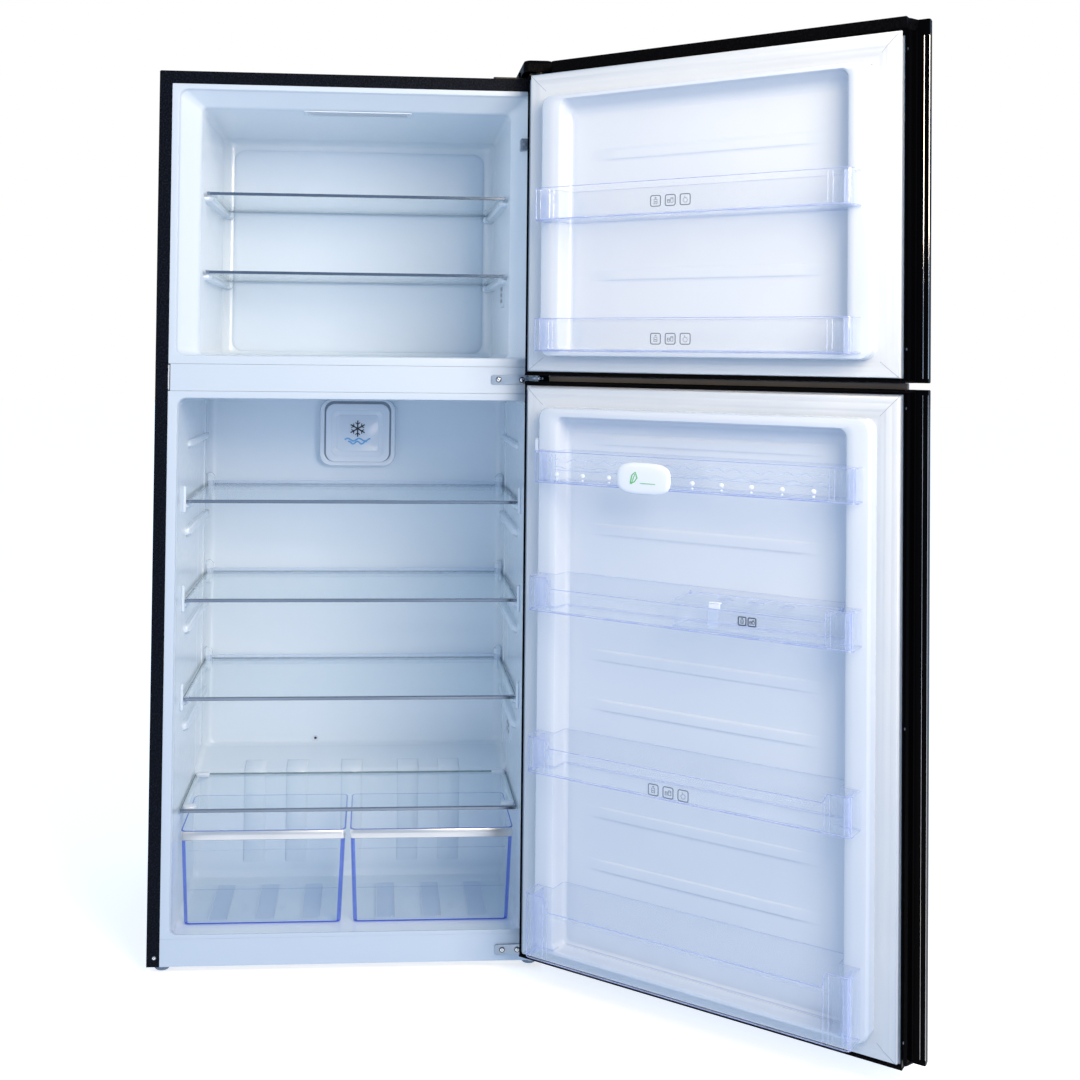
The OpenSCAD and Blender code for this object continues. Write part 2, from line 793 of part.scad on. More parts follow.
module dairy_box() {
    color("lavender") hung() difference() {
        union() {
            block(dairy_x0, dairy_x1, dairy_y0, dairy_y1, 751, dairy_top);
            for (x = [dairy_x0, dairy_x1 - 2])
                block(x, x + 2, dairy_y0, dairy_y0 + 8, dairy_top - 1, dairy_top + 6);
        }
        block(dairy_x0 + 2, dairy_x1 - 2, dairy_y0 + 2, dairy_y1 - 2, 753, dairy_top + 1);
        rod_x(dairy_hinge_y, dairy_hinge_z, 1.5 + run_gap, dairy_x0 - 1, dairy_x0 + 3);
        rod_x(dairy_hinge_y, dairy_hinge_z, 1.5 + run_gap, dairy_x1 - 3, dairy_x1 + 1);
    }
}

module dairy_lid() {
    color("lavender") hung() {
        block(dairy_x0 + lid_end, dairy_x1 - lid_end, dairy_hinge_y, dairy_y1,
            dairy_top + 0.5, dairy_top + 3);
        rod_x(dairy_hinge_y, dairy_hinge_z, 2.3, dairy_x0 + lid_end, dairy_x1 - lid_end);
        rod_x(dairy_hinge_y, dairy_hinge_z, 1.5, dairy_x0 + 0.3, dairy_x1 - 0.3);
        block(-77, -56, dairy_y1 + 0.4, dairy_y1 + 3, dairy_top - 9, dairy_top + 3);
        block(-77, -56, dairy_y1 - 1, dairy_y1 + 3, dairy_top + 0.5, dairy_top + 3);
    }
}

shell();
back_panel();
base_pan();
bay_cover();
bottom_rail();
divider_rail();
cabinet_foam();
freezer_liner();
fridge_liner();
evaporator_cover();
evaporator();
fan_motor();
fan_rotor();
lamp_covers();
vent_box();
vent_panel();
drain_tube();
drain_pan();
compressor();
compressor_grommets();
condenser();
top_hinge();
top_hinge_cover();
middle_hinge();
bottom_hinge();
hinge_screws();
foot_left();
foot_right();
rear_rollers();
switch_plunger();
freezer_shelf_upper();
freezer_shelf_lower();
fridge_shelf_1();
fridge_shelf_2();
fridge_shelf_3();
shelf_trim_1();
shelf_trim_2();
shelf_trim_3();
crisper_cover();
crisper_left();
crisper_right();
freezer_door_frame();
freezer_door_glass();
freezer_door_foam();
freezer_door_liner();
freezer_door_gasket();
freezer_bin_upper();
freezer_bin_lower();
fridge_door_frame();
fridge_door_glass();
fridge_door_foam();
fridge_door_liner();
fridge_door_gasket();
module_bin();
module_cover();
dairy_bin();
dairy_box();
dairy_lid();
bin_middle();
bin_bottom();
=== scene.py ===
import json
from math import copysign, cos, exp, hypot, pi, radians, sin

import bmesh
import bpy
from mathutils import Matrix, Vector


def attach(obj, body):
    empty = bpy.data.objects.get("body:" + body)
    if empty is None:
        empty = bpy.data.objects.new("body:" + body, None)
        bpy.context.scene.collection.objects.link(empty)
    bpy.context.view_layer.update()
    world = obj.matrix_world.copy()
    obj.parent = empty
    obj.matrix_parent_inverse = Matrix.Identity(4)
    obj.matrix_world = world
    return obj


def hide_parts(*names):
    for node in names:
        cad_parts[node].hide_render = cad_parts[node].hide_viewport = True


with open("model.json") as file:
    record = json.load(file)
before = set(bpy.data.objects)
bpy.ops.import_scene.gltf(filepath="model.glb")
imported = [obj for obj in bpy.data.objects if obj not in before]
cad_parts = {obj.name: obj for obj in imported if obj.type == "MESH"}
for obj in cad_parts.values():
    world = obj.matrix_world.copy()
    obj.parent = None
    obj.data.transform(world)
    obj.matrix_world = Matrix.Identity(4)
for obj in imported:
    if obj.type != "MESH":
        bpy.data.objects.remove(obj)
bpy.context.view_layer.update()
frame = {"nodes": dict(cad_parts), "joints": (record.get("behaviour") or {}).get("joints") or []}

SCENE = bpy.context.scene
NODES = frame["nodes"]
JOINTS = {j["name"]: j for j in frame["joints"]}
MM = 0.001
IOR = 1.5  # of paint, plastic and glass
GLOSSIEST = 0.02  # least roughness of an opaque surface
GRAZING = 4.0  # power that holds the gloss of glass to grazing angles
PEBBLES = 420.0  # pebbles in a metre of the textured paint

# ---- frame

PIVOT = Vector(JOINTS["fridge_door_hinge"]["pos_m"])
OPEN = radians(-JOINTS["fridge_door_hinge"]["range_deg"][0])
HUNG = (Matrix.Translation((PIVOT.x, PIVOT.y, 0)) @ Matrix.Rotation(OPEN, 4, "Z")
        @ Matrix.Translation((-PIVOT.x, -PIVOT.y, 0)))


class Box:
    """A node's box in millimetres; for a node on a door, with the door shut."""

    def __init__(self, node, shut=False):
        back = HUNG.inverted() if shut else Matrix.Identity(4)
        pts = [back @ v.co for v in NODES[node].data.vertices]
        self.x0, self.y0, self.z0 = (min(p[k] for p in pts) / MM for k in range(3))
        self.x1, self.y1, self.z1 = (max(p[k] for p in pts) / MM for k in range(3))

    def plan(self, d):
        """The box seen from above, d in from its edges."""
        return self.x0 + d, self.x1 - d, self.y0 + d, self.y1 - d

    def face(self, d):
        """The box seen from the front, d in from its edges."""
        return self.x0 + d, self.x1 - d, self.z0 + d, self.z1 - d


# ---- materials


M = {}  # the materials by name


class Nodes:
    """Short way to build a material's node tree."""

    def __init__(self, name):
        self.mat = M[name] = bpy.data.materials.new(name)
        self.mat.use_nodes = True
        self.tree = self.mat.node_tree
        self.tree.nodes.clear()
        self.out = self.new("OutputMaterial")
        self.coord = self.new("TexCoord").outputs["Object"]

    def new(self, kind, **inputs):
        n = self.tree.nodes.new("ShaderNode" + kind)
        for k, v in inputs.items():
            self.set(n, k.replace("_", " "), v)
        return n

    def set(self, n, key, v):
        socket = n.inputs[key]
        if isinstance(v, bpy.types.NodeSocket):
            self.tree.links.new(v, socket)
        else:
            socket.default_value = v

    def noise(self, scale, detail=3.0, stretch=(1, 1, 1)):
        m = self.new("Mapping", Vector=self.coord, Scale=stretch)
        return self.new("TexNoise", Vector=m.outputs[0], Scale=scale, Detail=detail).outputs[0]

    def ramp(self, value, lo, hi, a=0.0, b=1.0):
        return self.new("MapRange", Value=value, From_Min=a, From_Max=b, To_Min=lo, To_Max=hi).outputs[0]

    def tint(self, value, low, high):
        n = self.new("Mix")
        n.data_type = "RGBA"
        self.set(n, 0, value)
        self.set(n, 6, (*low, 1))
        self.set(n, 7, (*high, 1))
        return n.outputs[2]

    def bump(self, height, strength, distance):
        return self.new("Bump", Height=height, Strength=strength, Distance=distance).outputs[0]

    def done(self, shader):
        self.tree.links.new(shader, self.out.inputs[0])


def surface(name, low, high, rough, grain, metal=0.0, coat=0.0, spread=0.06, scale=9.0, stretch=(1, 1, 1),
            spec=0.5):
    """Opaque moulded, painted or metal surface: slow colour drift, roughness variation, fine grain."""
    n = Nodes(name)
    fine = n.noise(grain[0], 4.0, stretch)
    b = n.new("BsdfPrincipled", Metallic=metal, IOR=IOR, Specular_IOR_Level=spec, Coat_Weight=coat,
              Coat_Roughness=0.06, Base_Color=n.tint(n.noise(scale, 2.0), low, high),
              Roughness=n.ramp(fine, max(rough - spread, GLOSSIEST), rough + spread),
              Normal=n.bump(fine, grain[1], grain[2]))
    n.done(b.outputs[0])


def leathered(name, low, high, rough, spec):
    """Black paint with a fine pebbled texture that sparkles a little."""
    n = Nodes(name)
    cell = n.new("TexVoronoi", Vector=n.coord, Scale=PEBBLES)
    cell.feature = "SMOOTH_F1"
    coarse = n.noise(330, 3.0)
    b = n.new("BsdfPrincipled", IOR=IOR, Specular_IOR_Level=spec,
              Base_Color=n.tint(n.ramp(coarse, 0.0, 1.0, 0.46, 0.72), low, high),
              Roughness=n.ramp(coarse, rough - 0.08, rough + 0.12),
              Normal=n.bump(cell.outputs[0], 0.9, 0.001))
    n.done(b.outputs[0])


def clear(name, through, body, low, high, rough=0.05, metal=0.7, grain=(60, 0.03, 0.0002)):
    """Clear plastic or glass: tinted view through, gloss that grows towards grazing angles."""
    n = Nodes(name)
    fine = n.noise(grain[0], 2.0)
    t = n.new("BsdfTransparent", Color=(*through, 1))
    b = n.new("BsdfPrincipled", Metallic=metal, IOR=IOR,
              Base_Color=n.tint(fine, body, tuple(min(1, c * 1.06) for c in body)),
              Roughness=n.ramp(fine, rough * 0.7, rough * 1.4), Normal=n.bump(fine, grain[1], grain[2]))
    w = n.new("LayerWeight", Blend=0.5)
    p = n.new("Math")
    p.operation = "POWER"
    n.set(p, 0, w.outputs["Facing"])
    n.set(p, 1, GRAZING)
    m = n.new("MixShader")
    n.set(m, 0, n.ramp(p.outputs[0], low, high))
    n.tree.links.new(t.outputs[0], m.inputs[1])
    n.tree.links.new(b.outputs[0], m.inputs[2])
    n.done(m.outputs[0])


INK_GRAIN = (200, 0.05, 0.0001)  # a grain is its scale, bump strength and depth in metres
# name, a darker and a lighter colour, roughness, grain
leathered("cabinet_paint", (0.0005, 0.0010, 0.0030), (0.008, 0.014, 0.030), 0.42, 0.06)
leathered("door_cap", (0.0004, 0.0004, 0.0008), (0.003, 0.003, 0.004), 0.38, 0.03)
surface("gloss_black", (0.0005, 0.0005, 0.0008), (0.001, 0.001, 0.0014), 0.13,
    (300, 0.04, 0.0001), spread=0.04, stretch=(1, 1, 0.02), spec=0.02)
surface("door_glass", (0.0005, 0.0005, 0.0006), (0.001, 0.001, 0.0012), 0.045,
    (30, 0.01, 0.0001), spread=0.02, spec=0.03)
surface("front_white", (0.58, 0.67, 0.78), (0.60, 0.69, 0.80), 0.30, (120, 0.02, 0.0001), spread=0.03)
surface("liner", (0.74, 0.835, 0.93), (0.77, 0.855, 0.94), 0.22, (90, 0.05, 0.0003), coat=0.25)
surface("back_wall", (0.725, 0.832, 0.95), (0.755, 0.852, 0.96), 0.32, (420, 0.10, 0.0002))
# painted shade: the same white plastic as the liner, made darker to offset the stronger light that falls on
# the open doors
surface("door_liner", (0.585, 0.66, 0.77), (0.625, 0.695, 0.795), 0.24, (120, 0.05, 0.0002), coat=0.3)
surface("gasket", (0.58, 0.635, 0.70), (0.64, 0.69, 0.75), 0.45, (200, 0.15, 0.0002),
    stretch=(1, 1, 0.2))
surface("white_plastic", (0.74, 0.81, 0.90), (0.78, 0.84, 0.93), 0.24, (150, 0.04, 0.0002), coat=0.3)
surface("grey_plastic", (0.22, 0.27, 0.34), (0.27, 0.32, 0.39), 0.35, (300, 0.1, 0.0002))
surface("zinc", (0.19, 0.25, 0.33), (0.30, 0.37, 0.46), 0.33, (500, 0.12, 0.0001), metal=1.0,
    spread=0.1)
surface("bright_screw", (0.66, 0.70, 0.75), (0.78, 0.81, 0.85), 0.25, (300, 0.05, 0.0001), metal=1.0)
# bright metal stand-ins for the highlight lines along the doors' black free side: painted highlights
surface("painted_highlight_bead", (0.12, 0.12, 0.13), (0.95, 0.95, 0.97), 0.12,
    (60, 0.02, 0.0001), metal=1.0, scale=3.5)
surface("gap_strip", (0.05, 0.045, 0.045), (0.20, 0.185, 0.18), 0.35, (40, 0.05, 0.0001),
    metal=0.5, scale=2.2, stretch=(0.2, 1, 1))
surface("silver_band", (0.56, 0.58, 0.60), (0.66, 0.67, 0.68), 0.30, (80, 0.08, 0.0003),
    metal=0.75, spread=0.1, stretch=(0.05, 1, 1))
surface("edge_metal", (0.10, 0.13, 0.18), (0.26, 0.31, 0.38), 0.16, (120, 0.05, 0.0001),
    metal=0.9, scale=3.0, stretch=(0.1, 1, 1))
surface("galvanised", (0.34, 0.36, 0.38), (0.46, 0.48, 0.50), 0.42, (60, 0.1, 0.0002),
    metal=0.8, spread=0.12, scale=30.0)
surface("dark_plastic", (0.010, 0.011, 0.012), (0.02, 0.021, 0.024), 0.5, (400, 0.2, 0.0003), spec=0.25)
surface("black_enamel", (0.003, 0.003, 0.004), (0.007, 0.007, 0.007), 0.3, (60, 0.1, 0.0004), spec=0.25)
surface("aluminium_fin", (0.70, 0.71, 0.73), (0.80, 0.81, 0.83), 0.35, (300, 0.1, 0.0001), metal=1.0)
surface("rigid_foam", (0.62, 0.53, 0.32), (0.74, 0.65, 0.42), 0.85, (180, 0.6, 0.0015))
surface("black_rubber", (0.012, 0.012, 0.012), (0.022, 0.022, 0.022), 0.7, (300, 0.3, 0.0003))
surface("grey_ink", (0.07, 0.085, 0.13), (0.10, 0.12, 0.17), 0.5, INK_GRAIN)
surface("dark_ink", (0.01, 0.015, 0.03), (0.02, 0.03, 0.05), 0.5, INK_GRAIN)
surface("blue_ink", (0.14, 0.45, 0.80), (0.20, 0.52, 0.86), 0.5, INK_GRAIN)
surface("green_ink", (0.05, 0.45, 0.08), (0.08, 0.55, 0.12), 0.5, INK_GRAIN)
clear("clear_plastic", (0.991, 0.994, 0.998), (0.90, 0.94, 1.0), 0.012, 0.48, grain=(60, 0.012, 0.0002))
clear("clear_edge", (0.84, 0.87, 0.965), (0.82, 0.88, 1.0), 0.22, 0.85, metal=0.4)
clear("bin_line", (0.66, 0.71, 0.93), (0.62, 0.70, 0.96), 0.45, 0.9, metal=0.3)
clear("frosted_strip", (0.95, 0.965, 0.995), (0.76, 0.83, 0.95), 0.14, 0.7, 0.3, 0.4,
    (900, 0.6, 0.0006))
clear("drawer_plastic", (0.968, 0.979, 0.988), (0.84, 0.90, 0.97), 0.012, 0.45)
clear("drawer_edge", (0.42, 0.50, 0.97), (0.10, 0.18, 0.72), 0.40, 0.85, metal=0.2)
clear("drawer_pad", (0.915, 0.935, 0.97), (0.72, 0.80, 0.95), 0.04, 0.5, metal=0.4)
clear("shelf_glass", (0.976, 0.988, 0.988), (0.92, 0.97, 0.98), 0.02, 0.70, 0.02, 1.0)
clear("glass_edge", (0.36, 0.47, 0.49), (0.05, 0.11, 0.12), 0.55, 0.9, 0.08, 0.5)

# ---- mesh tools


ON_DOORS = {"freezer_door", "fridge_door", "freezer_high_bin", "freezer_low_bin", "mid_bin", "low_bin",
            "dairy", "dairy_cover"}
WELD = 1e-6  # metres between points that become one
CREASE = 32  # degrees from which an edge stays sharp


def new_object(name, data):
    o = bpy.data.objects.new(name, data)
    SCENE.collection.objects.link(o)
    return o


class Shape:
    """Collects points (millimetres) and faces of a piece. What rides on a door is drawn with it shut."""

    def __init__(self):
        self.v, self.f, self.m = [], [], []

    def add(self, verts, faces, mat=0):
        k = len(self.v)
        self.v += verts
        self.f += [tuple(i + k for i in f) for f in faces]
        self.m += [mat] * len(faces)

    def loft(self, rings, mat=0, start=True, end=True, closed=True):
        """Skin over rings of equal length; mat may be one number or one per strip."""
        n = len(rings[0])
        k = len(self.v)
        for r in rings:
            self.v += r
        for a in range(len(rings) - 1):
            for i in range(n if closed else n - 1):
                j = (i + 1) % n
                self.f.append((k + a * n + i, k + a * n + j, k + (a + 1) * n + j, k + (a + 1) * n + i))
                self.m.append(mat if isinstance(mat, int) else mat[a])
        if start:
            self.f.append(tuple(range(k + n - 1, k - 1, -1)))
            self.m.append(mat if isinstance(mat, int) else mat[0])
        if end:
            k2 = k + (len(rings) - 1) * n
            self.f.append(tuple(range(k2, k2 + n)))
            self.m.append(mat if isinstance(mat, int) else mat[-1])

    def block(self, x0, x1, y0, y1, z0, z1, b=0.0, mat=0):
        """A block with its twelve edges chamfered by b."""
        b = min(b, (x1 - x0) / 2.01, (y1 - y0) / 2.01, (z1 - z0) / 2.01)
        steps = ((b, z0), (0.0, z0 + b), (0.0, z1 - b), (b, z1))
        self.loft([outline(x0 + c, x1 - c, y0 + c, y1 - c, b - c, z, 1) for c, z in steps], mat)

    def pair_block(self, side, a, b, *rest):
        """A block between the distances a and b from the middle, on one side of it."""
        self.block(*sorted((side * a, side * b)), *rest)

    def tube(self, path, r, mat=0, n=12):
        """A round bar along a path of points."""
        rings = []
        for i, p in enumerate(path):
            p = Vector(p)
            a = Vector(path[max(i - 1, 0)])
            c = Vector(path[min(i + 1, len(path) - 1)])
            d = (c - a).normalized()
            u = d.orthogonal().normalized() if i == 0 else (u - d * u.dot(d)).normalized()
            w = d.cross(u)
            rings.append(circle(p, u, w, r, n))
        self.loft(rings, mat)

    def disc(self, centre, axis, profile, mat=0, n=24):
        """A turned shape: profile is (radius, distance along axis) pairs."""
        axis = Vector(axis).normalized()
        u = axis.orthogonal().normalized()
        w = axis.cross(u)
        self.loft([circle(Vector(centre) + axis * h, u, w, r, n) for r, h in profile], mat)

    def piece(self, name, mats, body, slot, node=None, angle=CREASE):
        """Make the piece; node is the CAD node that it replaces."""
        me = bpy.data.meshes.new(name)
        place = HUNG if body in ON_DOORS else Matrix.Identity(4)
        me.from_pydata([place @ (Vector(v) * MM) for v in self.v], [], self.f)
        for m in mats:
            me.materials.append(M[m])
        for p, k in zip(me.polygons, self.m):
            p.material_index = k
        bm = bmesh.new()
        bm.from_mesh(me)
        bmesh.ops.remove_doubles(bm, verts=bm.verts, dist=WELD)
        bmesh.ops.recalc_face_normals(bm, faces=bm.faces)
        bm.to_mesh(me)
        bm.free()
        for p in me.polygons:
            p.use_smooth = True
        me.set_sharp_from_angle(angle=radians(angle))
        o = new_object(name, me)
        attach(o, body)
        if node:
            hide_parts(node)


def circle(p, u, w, r, n):
    """n points round p, in the plane of u and w."""
    return [tuple(p + u * (r * cos(t)) + w * (r * sin(t))) for t in (2 * pi * j / n for j in range(n))]


def outline(x0, x1, y0, y1, r, z, n=5):
    """A rounded rectangle in the X-Y plane at height z, anticlockwise from above."""
    pts = []
    corners = ((x1 - r, y0 + r, -90), (x1 - r, y1 - r, 0), (x0 + r, y1 - r, 90), (x0 + r, y0 + r, 180))
    for cx, cy, a in corners:
        for i in range(n + 1):
            t = radians(a + 90 * i / n)
            pts.append((cx + r * cos(t), cy + r * sin(t), z))
    return pts


def upright(x0, x1, z0, z1, r, y, n=6):
    """A rounded rectangle in the X-Z plane at depth y."""
    return [(a, y, b) for a, b, _ in outline(x0, x1, z0, z1, r, 0, n)]


def cove(steps):
    """Pairs (across, along) of a quarter round, 0 to 1."""
    turns = [pi / 2 * i / steps for i in range(1, steps + 1)]
    return [(1 - cos(t), sin(t)) for t in turns]


def dress(node, mat, bevel):
    """A carried-over CAD node: its material, and edges softened by bevel."""
    o = NODES[node]
    o.data.materials.clear()
    o.data.materials.append(M[mat])
    for p in o.data.polygons:
        p.material_index = 0
    if bevel:
        m = o.modifiers.new("edges", "BEVEL")
        m.width = bevel * MM
        m.segments = 2
        m.limit_method = "ANGLE"
        m.angle_limit = radians(35)
        m.use_clamp_overlap = True


# ---- cabinet interior

shell = Box("shell")
fz = Box("freezer_liner")
fr = Box("fridge_liner")
cover = Box("evaporator_cover")
top_shelf = Box("freezer_shelf_upper")
low_shelf = Box("freezer_shelf_lower")
shelves = [Box(f"fridge_shelf_{i}") for i in (1, 2, 3)]
crisper_cover = Box("crisper_cover")


def ledge(s, side, wall, y0, y1, top, h, w):
    """A moulded rail on a side wall, pointed at its front end."""
    t = top - h / 2

    def section(y, k):
        return [(side * x, y, z) for x, z in
                ((wall + 0.5, t + k * h / 2), (wall - k * (w - 3), t + k * h / 2),
                 (wall - k * w, t + k * (h / 2 - 3)), (wall - k * w, t - k * (h / 2 - 4)),
                 (wall - k * (w - 4), t - k * h / 2), (wall + 0.5, t - k * (h / 2 + 2)))]

    s.loft([section(*end) for end in ((y0, 0.02), (y0 + 4, 0.6), (y0 + 14, 1.0), (y1 - 6, 1.0), (y1, 0.9))])


def cavity(s, rows, rim):
    """A liner from front to back; rows are half width, floor, ceiling, corner radius, depth."""
    rings = [upright(-h, h, a, b, r, y, 8) for h, a, b, r, y in rows]
    s.loft(rings, [1] * rim + [0] * (len(rings) - rim - 1), False, True)


def sensor_cover(name, wall, y, z, slot_ys, slot_zs, slot_long):
    """A small slotted cover on the right wall; its slots are dark bars on the cover, painted shade of
    openings.
    """
    v = Shape()
    v.block(wall - 3, wall + 1, *y, *z, 1.5)
    # slots drawn as dark bars standing on the cover: painted shade
    for a in slot_ys:
        for b in slot_zs:
            v.block(wall - 3.6, wall - 2.6, a, a + slot_long, b, b + 8, 0.4, 1)
    v.piece(name + "_sensor_cover", ["liner", "dark_ink"], "cabinet", "liner")


def freezer_interior():
    half, ceil, floor = cover.x1 + 0.5, cover.z1 + 0.5, cover.z0 - 0.5
    lip_half, lip_top = half + 38, ceil + 28
    back = cover.y0
    rows = [
        (fz.x1, fz.z0, fz.z1, 1.0, fz.y0),
        (lip_half + 5, floor - 5, lip_top + 5, 20, fz.y0),
        (lip_half + 2, floor - 2, lip_top + 2, 18, fz.y0 + 0.8),
        (lip_half + 0.3, floor - 0.3, lip_top + 0.3, 17, fz.y0 + 3),
        (lip_half - 1, floor, lip_top - 1, 16, fz.y0 + 6),
        (half + 5, floor, ceil + 4, 13, 45),
        (half + 1.5, floor, ceil + 1.2, 12, 50),
        (half, floor, ceil, 11, 56),
        (half, floor, ceil, 11, back - 30),
    ]
    rows += [(half - 26 * c, floor + 12 * c, ceil - 14 * c, 11 + 6 * c, back - 30 + 30 * d)
             for c, d in cove(6)]
    s = Shape()
    cavity(s, rows, 4)
    for top in (top_shelf.z0, low_shelf.z0):
        for side in (-1, 1):
            ledge(s, side, half, 100, 452, top - 0.4, 13, 17)
            s.pair_block(side, half - 24, half + 1, 446, 469, top - 16, top - 1, 4)
    s.piece("freezer_liner_skin", ["liner", "front_white"], "cabinet", "liner", "freezer_liner")

    p = Shape()
    rings = [upright(-half + 22 + a, half - 22 - a, floor + 8 + a, ceil - 22 - a, 26 - a, back - d, 8)
             for a, d in ((0, 0), (1.2, 1.6), (4, 3.0), (9, 3.9), (15, 4.2))]
    p.loft(rings, 0, False, True)
    p.piece("freezer_back_panel", ["back_wall"], "cabinet", "liner", "evaporator_cover")

    sw = Box("switch_plunger")
    cx, cz = (sw.x0 + sw.x1) / 2, (sw.z0 + sw.z1) / 2
    q = Shape()
    q.block(cx - 8, cx + 8, 6, 36, cz - 12, cz + 12, 1.5)
    q.block(cx - 5.5, cx + 5.5, 4.4, 8, cz - 9, cz + 9, 1)
    q.piece("door_switch_housing", ["grey_plastic"], "cabinet", "white_plastic")

    sensor_cover("freezer", half, (160, 215), (1335, 1392), (172, 196), (1345, 1358, 1371), 6)


def fridge_interior():
    half, ceil = 349.5, 1138.5
    back = 490.0
    rows = [
        (fr.x1, 69.1, fr.z1, 1.0, fr.y0),
        (half + 5.5, 77, ceil + 5.5, 20, fr.y0),
        (half + 2, 73.4, ceil + 2, 18, fr.y0 + 1),
        (half + 0.3, 71.8, ceil + 0.3, 16.5, fr.y0 + 4),
    ]
    rows += [(half, z, ceil, 16, y) for z, y in (  # the floor, its step over the compressor, the back
        (71.5, 8), (71.0, 17), (67.5, 22), (61, 26), (58.6, 30), (58, 36), (58, 330), (60, 338), (66, 343),
        (76, 346), (278, 350), (287, 352), (292, 358), (294, 366), (312, back - 26))]
    rows += [(half - 22 * c, 312 + 6 * c, ceil - 12 * c, 16 + 8 * c, back - 26 + 26 * d)
             for c, d in cove(6)]
    s = Shape()
    cavity(s, rows, 3)
    for b in shelves:
        for side in (-1, 1):
            ledge(s, side, half, 100, 466, b.z0 - 0.4, 15, 12)
            ledge(s, side, half, 135, 462, b.z0 - 56, 20, 11)
            s.pair_block(side, half - 20, half + 1, 462, 489, b.z0 - 26, b.z1 + 24, 7)
            s.pair_block(side, half - 6, half + 1, 88, 100, b.z0 - 22, b.z1 + 30, 3)
    for side in (-1, 1):
        ledge(s, side, half, 98, 338, crisper_cover.z0 - 0.4, 9, 12)
        ledge(s, side, half, 150, 462, 1046, 16, 9)
        s.tube([(side * (half + 0.5), 430, z) for z in (330, 340, 1110, 1120)], 3.2)
    s.piece("fridge_liner_skin", ["liner", "front_white"], "cabinet", "liner", "fridge_liner")

    r = Shape()
    wide = 23
    path = [(346.4, 90), (347.6, 150), (348.9, 230), (349.9, 280), (351.5, 288), (357, 293.2),
            (366, 295.2), (388, 300), (400, 302.6)]
    across = ((-1.06, -0.4), (-1, 0.5), (-0.93, 1), (0, 1.05), (0.93, 1), (1, 0.5), (1.06, -0.4))
    for cx in (-216, -122.5, 0, 126.5, 219):
        rings = []
        for i, (y, z) in enumerate(path):
            a = path[max(i - 1, 0)]
            c = path[min(i + 1, len(path) - 1)]
            d = hypot(c[0] - a[0], c[1] - a[1])
            ny, nz = -(c[1] - a[1]) / d, (c[0] - a[0]) / d
            h = 3.2 if 0 < i < len(path) - 1 else 0.1
            rings.append([(cx + u * wide, y + ny * h * k, z + nz * h * k) for u, k in across])
        r.loft(rings, 0, False, False, False)
    r.piece("floor_step_ribs", ["liner"], "cabinet", "liner", angle=50)

    d = Shape()
    tube = Box("drain_tube")
    cx = (tube.x0 + tube.x1) / 2
    d.disc((cx, back + 0.2, 326), (0, -1, 0), ((9, 0), (8.6, 1.2), (6.2, 1.6), (5.4, 0.6)), 0)
    # dark disc in the outlet: painted shade of its hole
    d.disc((cx, back + 0.2, 326), (0, -1, 0), ((5.2, 0), (5.2, 0.9)), 1)
    d.piece("drain_outlet", ["liner", "dark_ink"], "cabinet", "liner")

    sensor_cover("fridge", half, (236, 322), (384, 444), (268, 296), (394, 408, 422), 7)


def air_vent():
    b = Box("vent_box")
    p = Box("vent_panel")
    s = Shape()
    rings = [upright(b.x0 + a, b.x1 - a, b.z0 + a, b.z1 - a * 0.4, 28 - a * 0.6, y, 10)
             for a, y in ((-1.5, b.y1), (0, b.y1 - 6), (0, b.y0 + 4), (1.2, b.y0 + 1), (4, b.y0), (9, b.y0),
                          (10.5, b.y0 + 1), (11, b.y0 + 7))]
    s.loft(rings, 0, False, True)
    s.piece("vent_housing", ["white_plastic"], "cabinet", "white_plastic", "vent_box")
    q = Shape()
    rings = [upright(*p.face(a), 22 - a * 0.5, y, 10) for a, y in (
        (0, p.y1 + 6), (0, p.y0 + 2.5), (1, p.y0 + 0.6), (3.2, p.y0), (13, p.y0), (13.6, p.y0 + 0.5),
        (14.4, p.y0 + 0.5), (15, p.y0), (24, p.y0), (24.6, p.y0 + 0.4), (25.4, p.y0 + 0.4), (26, p.y0))]
    q.loft(rings, 0, False, True)
    q.piece("vent_front", ["white_plastic"], "cabinet", "white_plastic", "vent_panel")
    # grey sheet across the gap round the vent front: painted shade of the gap
    g = Shape()
    g.loft([upright(*p.face(a), 22.5, b.y0 + 3.2, 10) for a in (-5.2, 0.2)], 0, False, False)
    g.piece("vent_gap_shade", ["grey_plastic"], "cabinet", "white_plastic")
    # generic frost mark: a six-armed star over a wave
    f = Shape()
    cx, cz, y = (p.x0 + p.x1) / 2, (p.z0 + p.z1) / 2 + 10, p.y0 - 0.35
    for k in range(6):
        a = pi * k / 3 + pi / 2
        d = Vector((cos(a), 0, sin(a)))
        c = Vector((cx, y, cz))
        f.tube([tuple(c), tuple(c + d * 19)], 1.5, 0, 8)
        for t in (-1, 1):
            e = Vector((cos(a + t * 0.9), 0, sin(a + t * 0.9)))
            f.tube([tuple(c + d * 10), tuple(c + d * 10 + e * 7)], 1.1, 0, 8)
    for k, w in ((0, 30), (1, 22)):
        wave = [(cx - w + i * w / 14, y, cz - 26 - 7 * k + 3 * sin(i * 0.5 + k)) for i in range(29)]
        f.tube(wave, 1.7, 1, 8)
    f.piece("frost_mark", ["dark_ink", "blue_ink"], "cabinet", "white_plastic")


def lamps():
    for name, w, y0, y1, z, node in (("freezer", 112, 53, 106, 1730.0, "lamp_covers"),
                                     ("fridge", 60, 70, 130, 1138.5, None)):
        s = Shape()
        rings = [outline(-w + a, w - a, y0 + a, y1 - a, 7, z - d, 5)
                 for a, d in ((0, 0), (0.4, 1.2), (1.2, 2.0), (4, 2.3), (6, 2.0))]
        s.loft(rings, 0, False, True)
        s.block(-w + 9, w - 9, y0 + 10, y1 - 10, z - 2.5, z - 1.8, 0.3, 1)
        s.piece(name + "_lamp_lens", ["liner", "gasket"], "cabinet", "lens", node)


# ---- shelves and drawers


